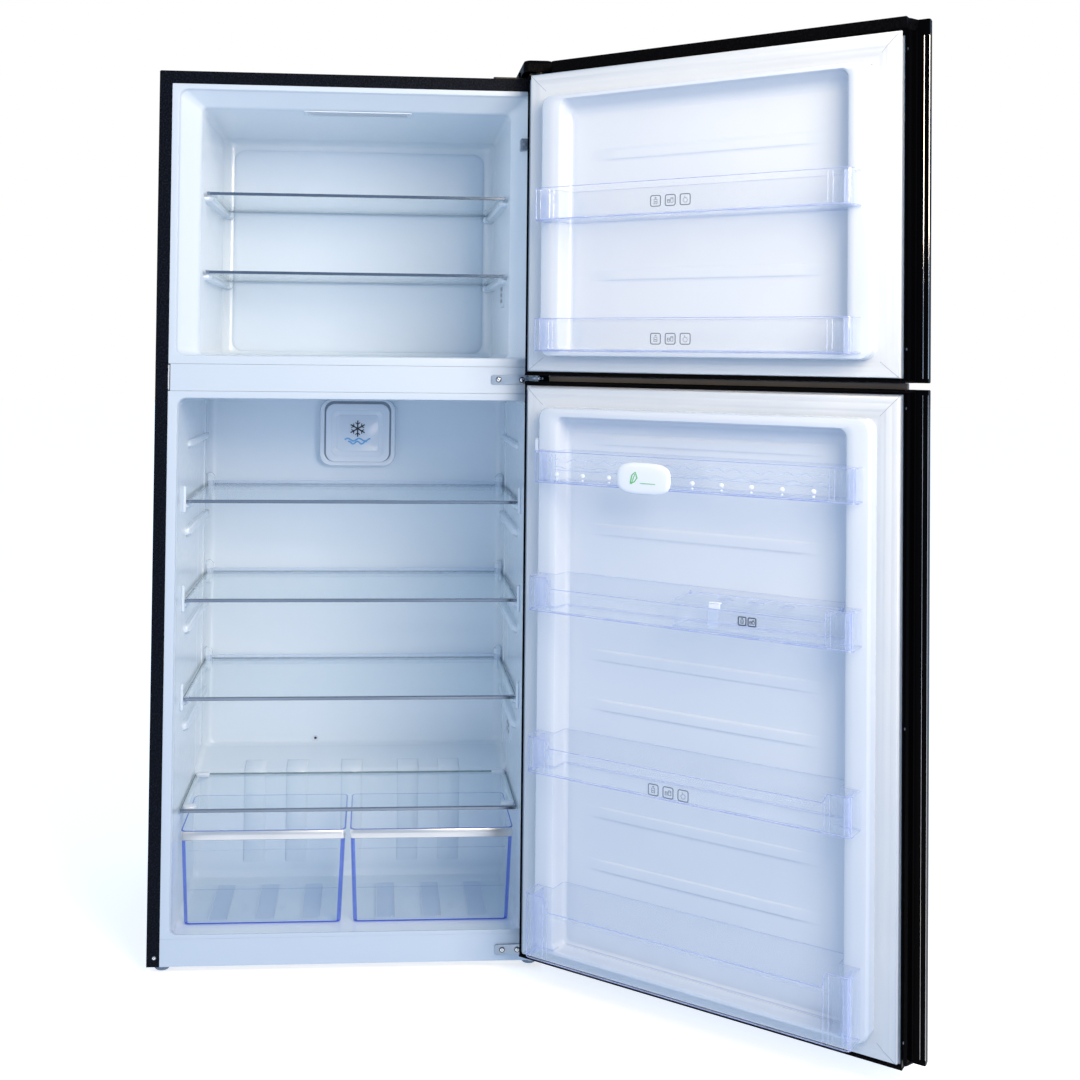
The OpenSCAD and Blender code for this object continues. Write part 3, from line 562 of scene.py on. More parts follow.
def glass_plate(s, b, r=5.0):
    """Glass: clear faces, dark polished rim."""
    s.loft([outline(*b.plan(a), r, z, 5)
            for a, z in ((0.7, b.z0), (0, b.z0 + 0.7), (0, b.z1 - 0.7), (0.7, b.z1))], [1, 1, 1])
    s.m[-2:] = [0, 0]


def channel(s, b, x0, x1, deep, lip, nose, low, brow, top, mat=0):
    """A C-shaped strip round the front edge of plate b, from x0 to x1."""
    profile = ((deep, -low), (-lip, -low), (-nose, -0.6), (-nose, brow), (-lip, top), (deep, top),
               (deep, 4.1), (0.1, 4.1), (0.1, -0.4), (deep, -0.4))
    s.loft([[(x, b.y0 + y, b.z0 + z) for y, z in profile] for x in (x0, x0 + 3, x1 - 3, x1)], mat)


def shelf_pieces():
    for node, body in (("freezer_shelf_upper", "freezer_top_shelf"),
                       ("freezer_shelf_lower", "freezer_mid_shelf")):
        b = Box(node)
        s = Shape()
        glass_plate(s, b)
        s.piece(node + "_glass", ["shelf_glass", "glass_edge"], body, "shelf_glass", node)
        t = Shape()
        channel(t, b, b.x0 + 1, b.x1 - 1, 4, 1.2, 1.9, 1.2, 4.2, 4.8)
        for x in (b.x0 - 1, b.x1 - 8):
            t.block(x, x + 9, b.y0 - 3, b.y0 + 7, b.z0 - 2.5, b.z1 + 2, 1.2, 1)
        t.piece(node + "_front_edge", ["edge_metal", "frosted_strip"], body, "trim_silver")
        r = Shape()
        r.block(b.x0 + 6, b.x1 - 6, b.y1 - 4, b.y1 + 1, b.z0, b.z1 + 1.4, 0.6)
        r.piece(node + "_rear_edge", ["frosted_strip"], body, "trim_silver")
    for i, b in enumerate(shelves, 1):
        t = Box(f"shelf_trim_{i}")
        body = f"shelf_{i}"
        s = Shape()
        glass_plate(s, b, 2)
        s.piece(f"shelf_{i}_glass", ["shelf_glass", "glass_edge"], body, "shelf_glass", f"fridge_shelf_{i}")
        f = Shape()
        channel(f, b, t.x0 + 6, t.x1 - 6, 5, 1.6, 2.4, 1.4, 4.4, 5.0)
        f.piece(f"shelf_{i}_front_trim", ["edge_metal"], body, "trim_silver", f"shelf_trim_{i}")
        c = Shape()
        for side in (-1, 1):
            x = side * (t.x1 - 8)
            c.block(x - 8, x + 8, b.y0 - 2.8, b.y0 + 12, b.z0 - 2, b.z1 + 1.4, 1.5)
            c.block(x - 8, x + 8, b.y1 - 10, b.y1 + 3, b.z0 - 3, b.z1 + 7, 2.5)
            c.pair_block(side, t.x1 - 1, t.x1 - 6, b.y0 + 130, b.y0 + 152, b.z0 - 1.5, b.z1 + 2, 1.2)
        c.block(b.x0 + 12, b.x1 - 12, b.y1 - 6, b.y1 + 2, b.z0 - 2, b.z1 + 7, 1.2)
        c.piece(f"shelf_{i}_clips", ["frosted_strip"], body, "trim_silver")
    b = crisper_cover
    s = Shape()
    glass_plate(s, b, 6)
    s.piece("crisper_cover_glass", ["shelf_glass", "glass_edge"], "drawer_cover", "shelf_glass",
            "crisper_cover")
    c = Shape()
    for side in (-1, 1):
        x = side * (b.x1 - 17)
        c.disc((x, b.y0 + 24, b.z0 - 3), (0, 0, 1), ((13, 0), (14, 2), (14, 7), (12.5, 9.4), (8, 10.4)))
        c.block(x - 15, x + 15, b.y1 - 14, b.y1 + 3, b.z0 - 3, b.z1 + 3, 3)
    channel(c, b, b.x0 + 2, b.x1 - 2, 5, 1.4, 2, 1.2, 4.3, 4.8, 1)
    c.piece("crisper_cover_clips", ["white_plastic", "edge_metal"], "drawer_cover", "trim_silver")


def crisper(node, body):
    b = Box(node)
    x0, x1, y0, y1, z0, z1 = b.x0, b.x1, b.y0 + 5, b.y1, b.z0, b.z1
    t = 2.6

    def ring(k, z, d):
        """Rim of the drawer for k = 0, its narrower floor for k = 1, and d in from there."""
        side, back, front = 8 * k, 14 * k, 2 * k
        return outline(x0 + side + d, x1 - side - d, y0 + front + d, y1 - back - d, 12 - d * 0.6, z, 6)

    s = Shape()
    rings = [ring(*row) for row in (
        (1.0, z0 + 1, 6), (1.0, z0, 3), (1.0, z0 + 1, 0.8), (0.97, z0 + 4, 0), (0.1, z1 - 16, 0),
        (0.0, z1 - 15, -0.4), (0.0, z1 - 1, -0.4), (0.0, z1, 0), (0.0, z1, t), (0.1, z1 - 16, t),
        (0.97, z0 + 6, t), (1.0, z0 + 3, t + 3), (1.0, z0 + 2.6, t + 8))]
    n = len(rings[0])
    s.loft(rings, [1, 1, 1, 0, 0, 0, 1, 1, 0, 0, 0, 0])
    s.m[-2:] = [0, 0]
    for a in (3, 4):  # front corners read as solid blue lines
        for i in (1, 2, 3, 4, *range(n - 6, n - 2)):
            s.m[a * n + i] = 1
    for a in (0, 1, 2):  # and so does the front of the floor, not the rest of it
        for i in range(6, n - 7):
            s.m[a * n + i] = 0
    s.piece(node + "_tub", ["drawer_plastic", "drawer_edge"], body, "drawer_clear", node)
    h = Shape()
    profile = ((-0.6, 17), (-3.6, 18), (-4.8, 16.8), (-4.4, 9), (-3.6, 3), (-2.2, 0.8), (-0.6, 0.4))
    h.loft([[(x, y0 + u + (k if u < -1 else 0), z1 - z) for u, z in profile] for x, k in (
        (x0 + 1, 4), (x0 + 4, 1.5), (x0 + 9, 0.0), (x1 - 9, 0.0), (x1 - 4, 1.5), (x1 - 1, 4))])
    h.piece(node + "_handle_band", ["silver_band"], body, "trim_silver")
    w = x1 - x0
    p = Shape()
    for k in (0.225, 0.51, 0.79):
        cx = x0 + w * k
        rings = [outline(cx - 20 + a, cx + 20 - a, y0 + 20 + a, y1 - 26 - a, 4, z0 + up, 4)
                 for a, up in ((0, 2.7), (0.8, 4.2), (2.4, 4.8))]
        p.loft(rings, 0, False, True)
        # white strips along the sides of each pad: painted highlight lines
        for dx in (-20, 18.8):
            p.block(cx + dx, cx + dx + 1.2, y0 + 22, y1 - 30, z0 + 3, z0 + 5.2, 0.3, 1)
    for k in (0.18, 0.4, 0.6, 0.82):  # moulding pips along the back wall
        x = x0 + w * k
        p.disc((x, y1 - 10, z0 + 118), (0, -1, 0), ((2.4, 0), (2.2, 1.2), (0.8, 1.9)), 1, 12)
        p.disc((x + 7, y1 - 11, z0 + 96), (0, -1, 0), ((1.6, 0), (1.4, 1.0), (0.5, 1.5)), 1, 12)
    for z in (z0 + 70, z0 + 150):
        p.block(x0 + 16, x1 - 16, y0 + 2.9, y0 + 4.2, z, z + 1.2, 0.3, 0)
    p.piece(node + "_floor_pads_and_highlight_lines", ["drawer_pad", "white_plastic"], body, "drawer_clear")
    pictograms(node + "_marks", body, [(x0 + w * k, z0 + 34) for k in (0.40, 0.62)], y0 - 0.2, 14,
               "drawer_pad", face=-1)


# ---- doors


def pictograms(name, body, spots, y, size, ink, face=1, weight=0.95):
    """Small rounded frames, each with a plain food shape inside; weight is that of their lines."""
    s = Shape()
    u = size / 15.0
    w = weight * u
    line = 0.5 * weight / 0.95
    h = size / 2
    for shape, (cx, cz) in enumerate(spots):
        s.loft([upright(cx - h + k, cx + h - k, cz - h + k, cz + h - k, size * 0.2 - k, y + up, 5)
                for k, up in ((0, 0), (0, face * 0.35), (w, face * 0.35), (w, 0))], 0, False, False)

        def bar(x0, x1, z0, z1):
            s.block(cx + x0 * u, cx + x1 * u, y - 0.2, y + 0.2, cz + z0 * u, cz + z1 * u, 0.1)

        if shape % 3 == 0:  # a jar
            for x in (-2.4, 1.9):
                bar(x, x + line, -4, 1.6)
            for x0, z in ((-2.4, -4), (-2.4, 1.6), (-1.3, 3.2), (-1.3, 4.0)):
                bar(x0, -x0, z, z + line)
            bar(-1.4, 1.4, -1.8, -0.8)
        elif shape % 3 == 1:  # two packs
            for x0, x1, z1 in ((-4.2, -0.5, 3.0), (0.5, 4.2, 1.0)):
                for x in (x0, x1 - 0.5):
                    bar(x, x + line, -3.4, z1)
                for z in (-3.4, z1 - 0.5, z1 - 2.0):
                    bar(x0, x1, z, z + line)
        else:  # a round fruit with a stalk
            turn = [pi * i / 8 for i in range(17)]
            s.tube([(cx + 3 * u * cos(t), y, cz - u + 3 * u * sin(t)) for t in turn],
                   0.3 * u, 0, 6)
            s.tube([(cx, y, cz + 2 * u), (cx + 1.6 * u, y, cz + 4.4 * u)], 0.3 * u, 0, 6)
    s.piece(name, [ink], body, "white_plastic")


RIB = 1.8  # height of the ribs on the inner panels
FINE_STEP, COARSE_STEP = 0.7, 4.0  # spacing of the panels' rows


def door_skin(body, recess, dyke_z, grooves):
    """The inner door: flange, raised dyke with soft shoulders, recessed ribbed panel."""
    b = Box(body + "_liner", True)
    half, inner = 325.0, 280.0
    d0, d1 = dyke_z
    r0, r1 = recess
    y0 = b.y0 + 2
    s = Shape()

    def row(t, y, r, grow=0.0, brow=0.0):
        """A ring t of the way from the dyke's outside to the recess; brow lowers its top."""
        h = half + (inner - half) * t + grow
        return upright(-h, h, d0 + (r0 - d0) * t - grow, d1 + (r1 - d1) * t + grow - brow, r, y, 8)

    flange = [upright(*b.face(0), 3, y0 - 2, 8), upright(*b.face(1.2), 3, y0, 8)]
    rows = ((0, y0, 24, 4), (0, y0 + 1.5, 23, 1.5), (0, y0 + 5, 22, 0.4), (0, 17, 21), (0.03, 22.5, 20),
            (0.10, 25.6, 19), (0.22, 26.8, 18), (0.60, 27, 16), (0.84, 26.4, 15), (0.93, 24, 15),
            (0.975, 19, 14), (1.0, 12, 13, 0, 2), (1.0, -4, 12, -0.6, 9), (1.0, -10, 12, -2, 13),
            (1.0, -13, 12, -5, 17), (1.0, -14, 12, -9, 20))
    s.loft(flange + [row(*r) for r in rows], 0, False, False)
    s.piece(body + "_inner_skin", ["door_liner"], body, "door_liner", body + "_liner")
    p = Shape()  # recessed panel with long shallow ribs
    x_half, z0, z1 = inner - 8, r0 + 8, r1 - 8
    wide = 45  # points in a row of the mesh
    zs = [z0]  # rows of the mesh, close together at the edges of the ribs
    while zs[-1] < z1:
        near = min(abs(abs(zs[-1] + 1 - g) - 10) for g in grooves)
        zs.append(min(z1, zs[-1] + (FINE_STEP if near < 3.5 else COARSE_STEP)))
    verts = []
    for z in zs:
        h = sum(RIB / (1 + exp(min(abs(z - g) - 10, 40) * 1.5)) for g in grooves)
        for i in range(wide):
            x = -x_half + 2 * x_half * i / (wide - 1)
            fade = max(0.0, min(1.0, (235 - abs(x)) / 60.0))
            verts.append((x, -14.0 + h * (fade * fade * (3 - 2 * fade)), z))
    starts = [a * wide + i for a in range(len(zs) - 1) for i in range(wide - 1)]
    p.add(verts, [(k, k + 1, k + wide + 1, k + wide) for k in starts])
    p.piece(body + "_inner_panel", ["door_liner"], body, "door_liner", angle=60)


def gasket(body):
    """The magnetic seal, its inner lip tucked under the dyke, and the welds of its corners."""
    b = Box(body + "_gasket", True)
    profile = ((0, -8), (0.4, -3.2), (1.6, -1.2), (3.5, -0.6), (9, -0.45), (11.2, -1.0), (13.5, -0.45),
               (22, -0.45), (24, -1.1), (26, -1.9), (28, -2.2), (31, -2.9), (34, -3.9), (36.5, -5.0),
               (40, -6.0), (51, -7.9))
    low = 29.5 if body == "freezer_door" else 28.5  # width of the lower side, the others are 37
    s = Shape()
    s.loft([[(b.x0 + d, y, b.z0 + d * low / 37), (b.x1 - d, y, b.z0 + d * low / 37),
             (b.x1 - d, y, b.z1 - d), (b.x0 + d, y, b.z1 - d)] for d, y in profile], 0, False, False)
    s.piece(body + "_seal", ["gasket"], body, "gasket", body + "_gasket", angle=60)
    m = Shape()
    for sx, x in ((1, b.x0), (-1, b.x1)):
        for sz, z, k in ((1, b.z0, low / 37), (-1, b.z1, 1.0)):
            m.tube([(x + sx * d, y - 0.04, z + sz * d * k) for d, y in profile[1:-3]], 0.42, 0, 6)
    m.piece(body + "_seal_welds", ["grey_plastic"], body, "gasket")


def door_bin(node, body, band=None, marks=None, drop=0.0):
    """A clear bin: thin walls, bright rims and corners, stiffening ribs at both ends."""
    b = Box(node, True)
    half, inner = b.x1, 279.0
    y0, step, y1 = b.y0, 27.4, b.y1
    t = 2.4
    low = b.z1 - drop

    def ring(d, z, dip=0.0):
        """The plan, d in: narrow behind the step, wide and rounded in front; dip lowers the front."""
        pts = [(-inner + d, y0 + d, z), (inner - d, y0 + d, z), (inner - d, step + d, z),
               (half - d, step + d, z)]
        r = max(12 - d, 0.5)
        for cx, a in ((half - d - r, 0), (-half + d + r, 90)):
            for i in range(7):
                turn = radians(a + 15 * i)
                pts.append((cx + r * cos(turn), y1 - d - r + r * sin(turn), z))
            if a == 0:
                x = inner - 16
                pts += [(u, y1 - d, w) for u, w in ((x + 9, z), (x, z - dip), (-x, z - dip), (-x - 9, z))]
        return pts + [(-half + d, step + d, z), (-inner + d, step + d, z)]

    s = Shape()
    rings = [ring(3.0, b.z0), ring(0.9, b.z0 + 0.8), ring(0.1, b.z0 + 3), ring(0.0, b.z1 - 0.6, drop),
             ring(0.5, b.z1, drop), ring(t - 0.5, b.z1, drop), ring(t, b.z1 - 0.6, drop),
             ring(t, b.z0 + 4), ring(t + 1.6, b.z0 + 2.6)]
    s.loft(rings, [1, 1, 0, 1, 1, 1, 0, 1])
    s.m[-2:] = [0, 0]
    n = len(rings[0])
    for a in (2, 6):  # thick corners catch the light
        for i in (6, 7, 17, 18):
            s.m[a * n + i] = 1
    s.piece(node + "_tray", ["clear_plastic", "clear_edge"], body, "clear_bin", node)
    e = Shape()
    for side in (-1, 1):
        for k, dx in enumerate((7, 14, 22, 31)):
            x = side * (half - dx)
            e.block(x - 0.7, x + 0.7, step + 2, y1 - t - (0 if k % 2 else 8), b.z0 + 3,
                    b.z1 - (2 if k < 2 else 9), 0.3, int(k == 1))
        e.pair_block(side, inner - 1, half - 2, y1 - t - 10, y1 - t - 8.6, b.z0 + 3, b.z1 - 6, 0.3)
        for dx in (4, 13):  # the corner post's two bright lines: strips of denser clear plastic that are painted highlights
            e.pair_block(side, inner - dx, inner - dx - 1.6, y1 - t - 2.2, y1 - t - 0.4,
                         b.z0 + 4, b.z1 - 4, 0.5, 1)
    e.tube(ring(0.4, b.z1 - 0.2, drop)[3:22], 0.7, 2, 6)
    e.tube(ring(0.6, b.z0 + 0.9)[3:22], 0.7, 2, 6)
    for i in (7, 18):
        x, y, _ = ring(0.4, 0)[i]
        e.tube([(x, y, b.z0 + 1), (x, y, b.z1 - 1)], 0.7, 2, 6)
    e.block(-inner + 4, inner - 4, y1 - 0.1, y1 + 0.9, b.z0 + 5.2, b.z0 + 6.6, 0.3)
    e.block(-inner + 22, inner - 22, y1 - 0.1, y1 + 0.9, low - 7.5, low - 6.4, 0.3)
    for k in range(5):  # drain slots under the floor's front edge
        x = -230 + 115 * k
        e.block(x - 36, x + 36, y1 - 14, y1 - 12.4, b.z0 - 0.3, b.z0 + 0.5, 0.3, 1)
        e.block(x - 36, x + 36, y1 - 0.2, y1 + 0.7, b.z0 + 1.4, b.z0 + 2.8, 0.3, 1)
    e.piece(node + "_ribs", ["clear_plastic", "clear_edge", "bin_line"], body, "clear_bin")
    if band:
        z0, z1 = band
        y = y1 - t - 0.9
        g = Shape()
        cols = 110
        rows = max(3, int((z1 - z0) / 3.2))
        dx, dz = 2 * (inner - 8) / cols, (z1 - z0) / rows
        for i in range(cols):
            for j in range(rows):
                x, z = -inner + 8 + (i + 0.5 * (j % 2)) * dx, z0 + j * dz
                corners = ((0, 0, 0), (0.7, 0, 0), (0.7, 0, 0.7), (0, 0, 0.7), (0.35, 0.8, 0.35))
                g.add([(x + dx * u, y + v, z + dz * w) for u, v, w in corners],
                      [(0, 1, 4), (1, 2, 4), (2, 3, 4), (3, 0, 4)])
        g.piece(node + "_grip_band", ["frosted_strip"], body, "clear_bin", angle=10)
    if marks:
        x0, z, count = marks
        pictograms(node + "_marks", body, [(x0 - k * 29, z) for k in range(count)], y1 + 0.3, 21,
                   "grey_ink", weight=1.15)


def air_module():
    b = Box("module_bin", True)
    door_bin("module_bin", "fridge_door")
    s = Shape()
    # real studs, painted white so that they show as bright dots: their white is a painted reflection
    for k in range(10):
        x = 262 - k * 55.6
        y = b.y1 - 4
        s.disc((x, y, b.z0 + 17), (0, 1, 0), ((4.4, 0), (4.2, 2.4), (2.8, 4.0), (0.8, 4.6)), 0, 16)
        s.disc((x, y, b.z0 + 8), (0, 1, 0), ((2.2, 0), (2.0, 1.8), (0.6, 2.6)), 0, 12)
    s.piece("air_module_highlight_studs", ["white_plastic"], "fridge_door", "white_plastic")
    w = Shape()
    for r, z, sway, wave, beat, late in ((0.8, 44, 0.8, 3.2, 1.3, 0), (0.7, 31, 0, 2.0, 0.9, 1)):
        w.tube([(266 - i * 6.65, b.y1 - 3.2 + sway * sin(i),
                 b.z0 + z + wave * sin(i * beat + late)) for i in range(81)], r, 0, 6)
    w.block(-268, 268, b.y1 - 9, b.y1 - 3, b.z0 + 3, b.z0 + 5, 0.8)
    w.block(-268, 268, b.y1 - 9, b.y1 - 3, b.z0 + 25, b.z0 + 26.4, 0.6)
    w.piece("air_module_rails", ["clear_edge"], "fridge_door", "clear_bin")
    c = Box("module_cover", True)
    cx, cz = (c.x0 + c.x1) / 2, (c.z0 + c.z1) / 2
    a, h = (c.x1 - c.x0) / 2, (c.z1 - c.z0) / 2

    def egg(k, y):
        """A ring between an ellipse and a rounded rectangle, k smaller all round."""
        pts = []
        for i in range(48):
            t = 2 * pi * i / 48
            x, z = (copysign(abs(u) ** 0.62, u) for u in (cos(t), sin(t)))
            pts.append((cx + (a - k) * x, y, cz + (h - k) * z))
        return pts

    s = Shape()
    s.loft([egg(*step) for step in (
        (1.5, c.y0 - 3), (0.2, c.y0), (0, c.y0 + 2), (1, c.y1 - 2.4), (3.2, c.y1 - 0.9), (8, c.y1 - 0.25),
        (16, c.y1))])
    s.piece("air_module_cover", ["white_plastic"], "fridge_door", "white_plastic", "module_cover")
    g = Shape()  # generic leaf mark: outline, vein, underline
    for r, line in ((0.9, ((24, -9), (21, 6), (14, 12), (10, 2), (16, -6), (24, -9))),
                    (0.7, ((22, -10), (15, 8))), (0.6, ((4, -8), (-26, -8)))):
        g.tube([(cx + x, c.y1 + 0.2, cz + z) for x, z in line], r, 0, 8)
    g.piece("leaf_mark", ["green_ink"], "fridge_door", "white_plastic")


def dairy():
    b = Box("dairy_box", True)
    lid = Box("dairy_lid", True)
    s = Shape()
    z1 = lid.z1 - 5.3
    s.loft([outline(*b.plan(d), max(7 - d, 0.6), z, 5) for d, z in (
        (3, b.z0), (0.6, b.z0 + 1), (0, b.z0 + 3), (0, z1), (2, z1), (2, b.z0 + 4), (4, b.z0 + 2.4))],
        [1, 1, 0, 1, 0, 1])
    s.m[-2:] = [0, 0]
    for x in (b.x0, b.x1 - 2):
        s.block(x, x + 2, b.y0, b.y0 + 8, z1 - 1, b.z1, 0.6, 1)
    s.piece("dairy_tub", ["clear_plastic", "clear_edge"], "dairy", "clear_bin", "dairy_box")
    hinge_y, hinge_z = -4.0, z1 + 3
    s = Shape()
    x0, x1 = b.x0 + 2.5, b.x1 - 2.5
    profile = ((hinge_y, 0.6), (hinge_y, 2.9), (40, 3.0), (62, 3.0), (68, 2.6), (71.4, 1.0), (72, 0.5),
               (66, 0.5), (40, 0.5))
    s.loft([[(x, y, z1 + z - drop) for y, z in profile] for x, drop in (
        (x0, 0.6), (x0 + 1.5, 0.3), (x0 + 4, 0.0), (x1 - 4, 0.0), (x1 - 1.5, 0.3), (x1, 0.6))],
        [1, 1, 0, 1, 1])
    s.tube([(x0 - 1.6, hinge_y, hinge_z), (x1 + 1.6, hinge_y, hinge_z)], 1.45, 1, 16)
    for k in (0.3, 0.5, 0.7):
        s.disc((x0 + (x1 - x0) * k, 34, z1 + 2.9), (0, 0, 1),
               ((15, 0), (14.4, 0.5), (12.6, 0.5), (12, 0)), 1, 28)
    s.piece("dairy_lid_shell", ["clear_plastic", "clear_edge"], "dairy_cover", "clear_bin", "dairy_lid")
    t = Shape()
    tab = (-77, -56)
    t.block(*tab, 72.4, 75, z1 - 9, z1 + 3, 0.7)
    t.block(*tab, 66, 75, z1 + 0.6, z1 + 3.2, 0.7)
    t.piece("dairy_catch", ["white_plastic"], "dairy_cover", "clear_bin")
    f = Box("dairy_bin", True)
    p = Shape()
    p.block(*tab, f.y1 - 0.6, f.y1 + 1.6, f.z1 - 52, f.z1 - 21, 0.8)
    p.piece("dairy_front_tab", ["frosted_strip"], "dairy", "clear_bin")
    pictograms("dairy_marks", "dairy", [(x, f.z0 + 30) for x in (-120, -138)], f.y1 + 0.4, 16, "dark_ink",
               weight=1.8)


def side_screws(body, heights):
    """Small screws in the door's free side."""
    s = Shape()
    for z in heights:
        s.disc((-371.4, -18, z), (-1, 0, 0), ((2.4, -0.6), (2.4, 0.3), (1.2, 0.7)), 0, 16)
    s.piece(body + "_side_screws", ["zinc"], body, "zinc")


def door_caps():
    """Moulded end caps of the doors, textured black, with screws along the free side and bright metal beads
    there that are painted highlight lines.
    """
    for body, end, z0, z1, x1 in (
        ("freezer_door", "_top", 1794.5, 1814.0, 320.5), ("freezer_door", "_base", 1192.5, 1197, 376),
        ("fridge_door", "_top", 1176.5, 1181.0, 376), ("fridge_door", "_base", 47.0, 51.5, 376),
    ):
        s = Shape()
        s.loft([[(-371 - g, g - 10, z), (x1 + g, g - 10, z), (x1 + g, -46.2, z), (-380 - g, -46.2, z),
                 (-374 - g, -30, z), (-371 - g, -26, z)]
                for z, g in ((z0, 0.25), (z0 + 0.4, 0.5), (z1 - 0.8, 0.5), (z1 + 0.3, -0.6))])
        s.piece(body + end + "_cap", ["door_cap"], body, "door_side")
    side_screws("freezer_door", (1250, 1760))
    # bright metal beads down each door's free side: painted highlight lines on the black edge
    for body, z0, z1, r in (("freezer_door", 1200, 1786, 0.9), ("fridge_door", 56, 1172, 0.4)):
        f = Box(body + "_frame", True)
        s = Shape()
        for x, y in ((f.x0 + 9.0, f.y1 - 35.9), (f.x0 + 0.4, f.y1 - 37.2)):
            s.tube([(x, y, z0), (x, y, z1)], r, 0, 8)
        s.piece(body + "_highlight_beads", ["painted_highlight_bead"], body, "door_side")
    side_screws("fridge_door", (1150, 612, 90))


# ---- hinges, feet, small parts


def screw_head(s, c, axis, r):
    """A domed cross-head screw on a dark washer."""
    s.disc(c, axis, ((r * 1.35, 0), (r * 1.35, 0.3)), 1, 20)
    s.disc(c, axis, ((r, 0), (r, 0.5), (r * 0.88, 1.4), (r * 0.55, 2.0), (r * 0.2, 2.2)), 0, 20)
    a = Vector(axis).normalized()
    u = a.orthogonal().normalized()
    w = a.cross(u)
    # the cross is two dark bars on the dome: painted shade of its recess
    for d in (u, w):
        p = Vector(c) + a * 1.9
        s.tube([tuple(p - d * r * 0.5), tuple(p + d * r * 0.5)], r * 0.13, 1, 6)


def fasteners():
    s = Shape()
    forward, up = (0, -1, 0), (0, 0, 1)
    top = shell.z1 + 4
    for x, y, z, axis, r in (
        (291.5, -3, 1182.85, forward, 4.4), (339.2, -3, 1182.85, forward, 4.4),
        (310.5, -3, 38, forward, 4.2), (341, -3, 38, forward, 4.2), (-380, 0, 33, forward, 3.4),
        (290, 48, top, up, 5), (318, 48, top, up, 5),
    ):
        screw_head(s, (x, y, z), axis, r)
    s.piece("hinge_screw_heads", ["bright_screw", "dark_ink"], "cabinet", "zinc", "hinge_screws")


def hinge_cover():
    b = Box("top_hinge_cover")
    s = Shape()
    s.loft([outline(*b.plan(a), 10, z, 6) for a, z in (
        (1.2, b.z0), (0, b.z0 + 0.8), (0, b.z1 - 9), (0.8, b.z1 - 4.6), (2.6, b.z1 - 1.8), (6, b.z1 - 0.3),
        (10, b.z1))], 0, False, True)
    s.block(b.x0 - 4, b.x0 + 1, b.y0 + 62, b.y1 - 6, b.z0, b.z0 + 12, 1.5)
    s.piece("top_hinge_hood", ["door_cap"], "cabinet", "door_side", "top_hinge_cover")


def feet():
    for node, body in (("foot_left", "left_foot"), ("foot_right", "right_foot")):
        b = Box(node)
        cx, cy = (b.x0 + b.x1) / 2, (b.y0 + b.y1) / 2
        s = Shape()
        n = 60
        rings = []
        for r, z, tooth in ((11, 0, 0), (13, 0.6, 0), (14.6, 2.4, 0.9), (15, 3.4, 1.1), (15, 8.6, 1.1),
                            (14.4, 10, 0.6), (12.5, 11, 0), (5, 11.2, 0), (5, b.z1, 0)):
            turn = [(r - tooth * (j % 2), 2 * pi * j / n) for j in range(n)]
            rings.append([(cx + q * cos(t), cy + q * sin(t), z) for q, t in turn])
        s.loft(rings)
        s.piece(node + "_glide", ["grey_plastic"], body, "zinc", node, angle=25)


def plain_nodes():
    """CAD nodes that keep their shape: material, bevel in millimetres, nodes."""
    for mat, bevel, nodes in (
        ("cabinet_paint", 0.5, "shell"), ("front_white", 0.4, "bottom_rail divider_rail"),
        ("galvanised", 0.3, "back_panel"), ("galvanised", 0.0, "base_pan"),
        ("dark_plastic", 0.3, "bay_cover"), ("dark_plastic", 0.6, "fan_motor drain_pan"),
        ("dark_plastic", 0.8, "rear_rollers"), ("grey_plastic", 0.4, "switch_plunger"),
        ("white_plastic", 0.4, "fan_rotor"), ("white_plastic", 0.0, "drain_tube"),
        ("aluminium_fin", 0.0, "evaporator"), ("black_enamel", 0.0, "condenser"),
        ("black_enamel", 0.5, "compressor top_hinge"), ("black_rubber", 0.6, "compressor_grommets"),
        ("zinc", 0.5, "middle_hinge bottom_hinge"),
        ("gloss_black", 1.1, "freezer_door_frame fridge_door_frame"),
        ("door_glass", 0.9, "freezer_door_glass fridge_door_glass"),
    ):
        for node in nodes.split():
            dress(node, mat, bevel)


def foam_cores():
    """Insulation, a little inside the skins that cover it."""
    for name in ("freezer_door", "fridge_door"):
        b = Box(name + "_foam", True)
        s = Shape()
        s.block(b.x0 + 1, b.x1 - 1, b.y0 + 1, -18, b.z0 + 14, b.z1 - 14, 2)
        s.piece(name + "_insulation", ["rigid_foam"], name, "foam", name + "_foam")
    b = Box("cabinet_foam")
    s = Shape()
    half, top = fr.x1 - 12, b.z1 - 4
    for side in (-1, 1):
        s.pair_block(side, half, b.x1 - 1, 24, b.y1 - 40, 262, top, 3)
    for y0, y1, z0, z1 in ((24, b.y1 - 40, fz.z1 - 2, top), (24, b.y1 - 40, 1160, 1206),
                           (560, b.y1 - 2, 262, top)):
        s.block(-half, half, y0, y1, z0, z1, 3)
    s.piece("cabinet_insulation", ["rigid_foam"], "cabinet", "foam", "cabinet_foam")


def trim_parts():
    """Seams and small moulded parts round the doorways."""
    s = Shape()
    s.block(-371, -367.5, 1.2, 3.0, 1156, 1206, 0.4)
    s.piece("divider_end_slit", ["white_plastic"], "cabinet", "front_white")
    s = Shape()  # lug on the fridge door's dyke
    s.block(322, 334, 8, 24, 1041, 1072, 3.5)
    s.piece("dyke_lug", ["door_liner"], "fridge_door", "door_liner")
    s = Shape()  # strip with a streaked dark colour in the gap along the top front edge of the fridge door
    s.block(-364, 347, -62, -54, 1179, 1191.6, 1.0)
    s.piece("door_gap_strip", ["gap_strip"], "fridge_door", "door_side")
    b = Box("bay_cover")
    s = Shape()
    slat = ((b.y1 - 5.5, 7.5), (b.y1 - 4.3, 8.2), (b.y1 - 0.4, 0.7), (b.y1 - 1.6, 0.0))
    for x in (-330, -160, 10, 180):
        for z in range(133, 182, 12):
            s.loft([[(end, y, z + dz) for y, dz in slat] for end in (x + 1, x + 149)])
    s.piece("bay_cover_louvres", ["dark_plastic"], "cabinet", "zinc")


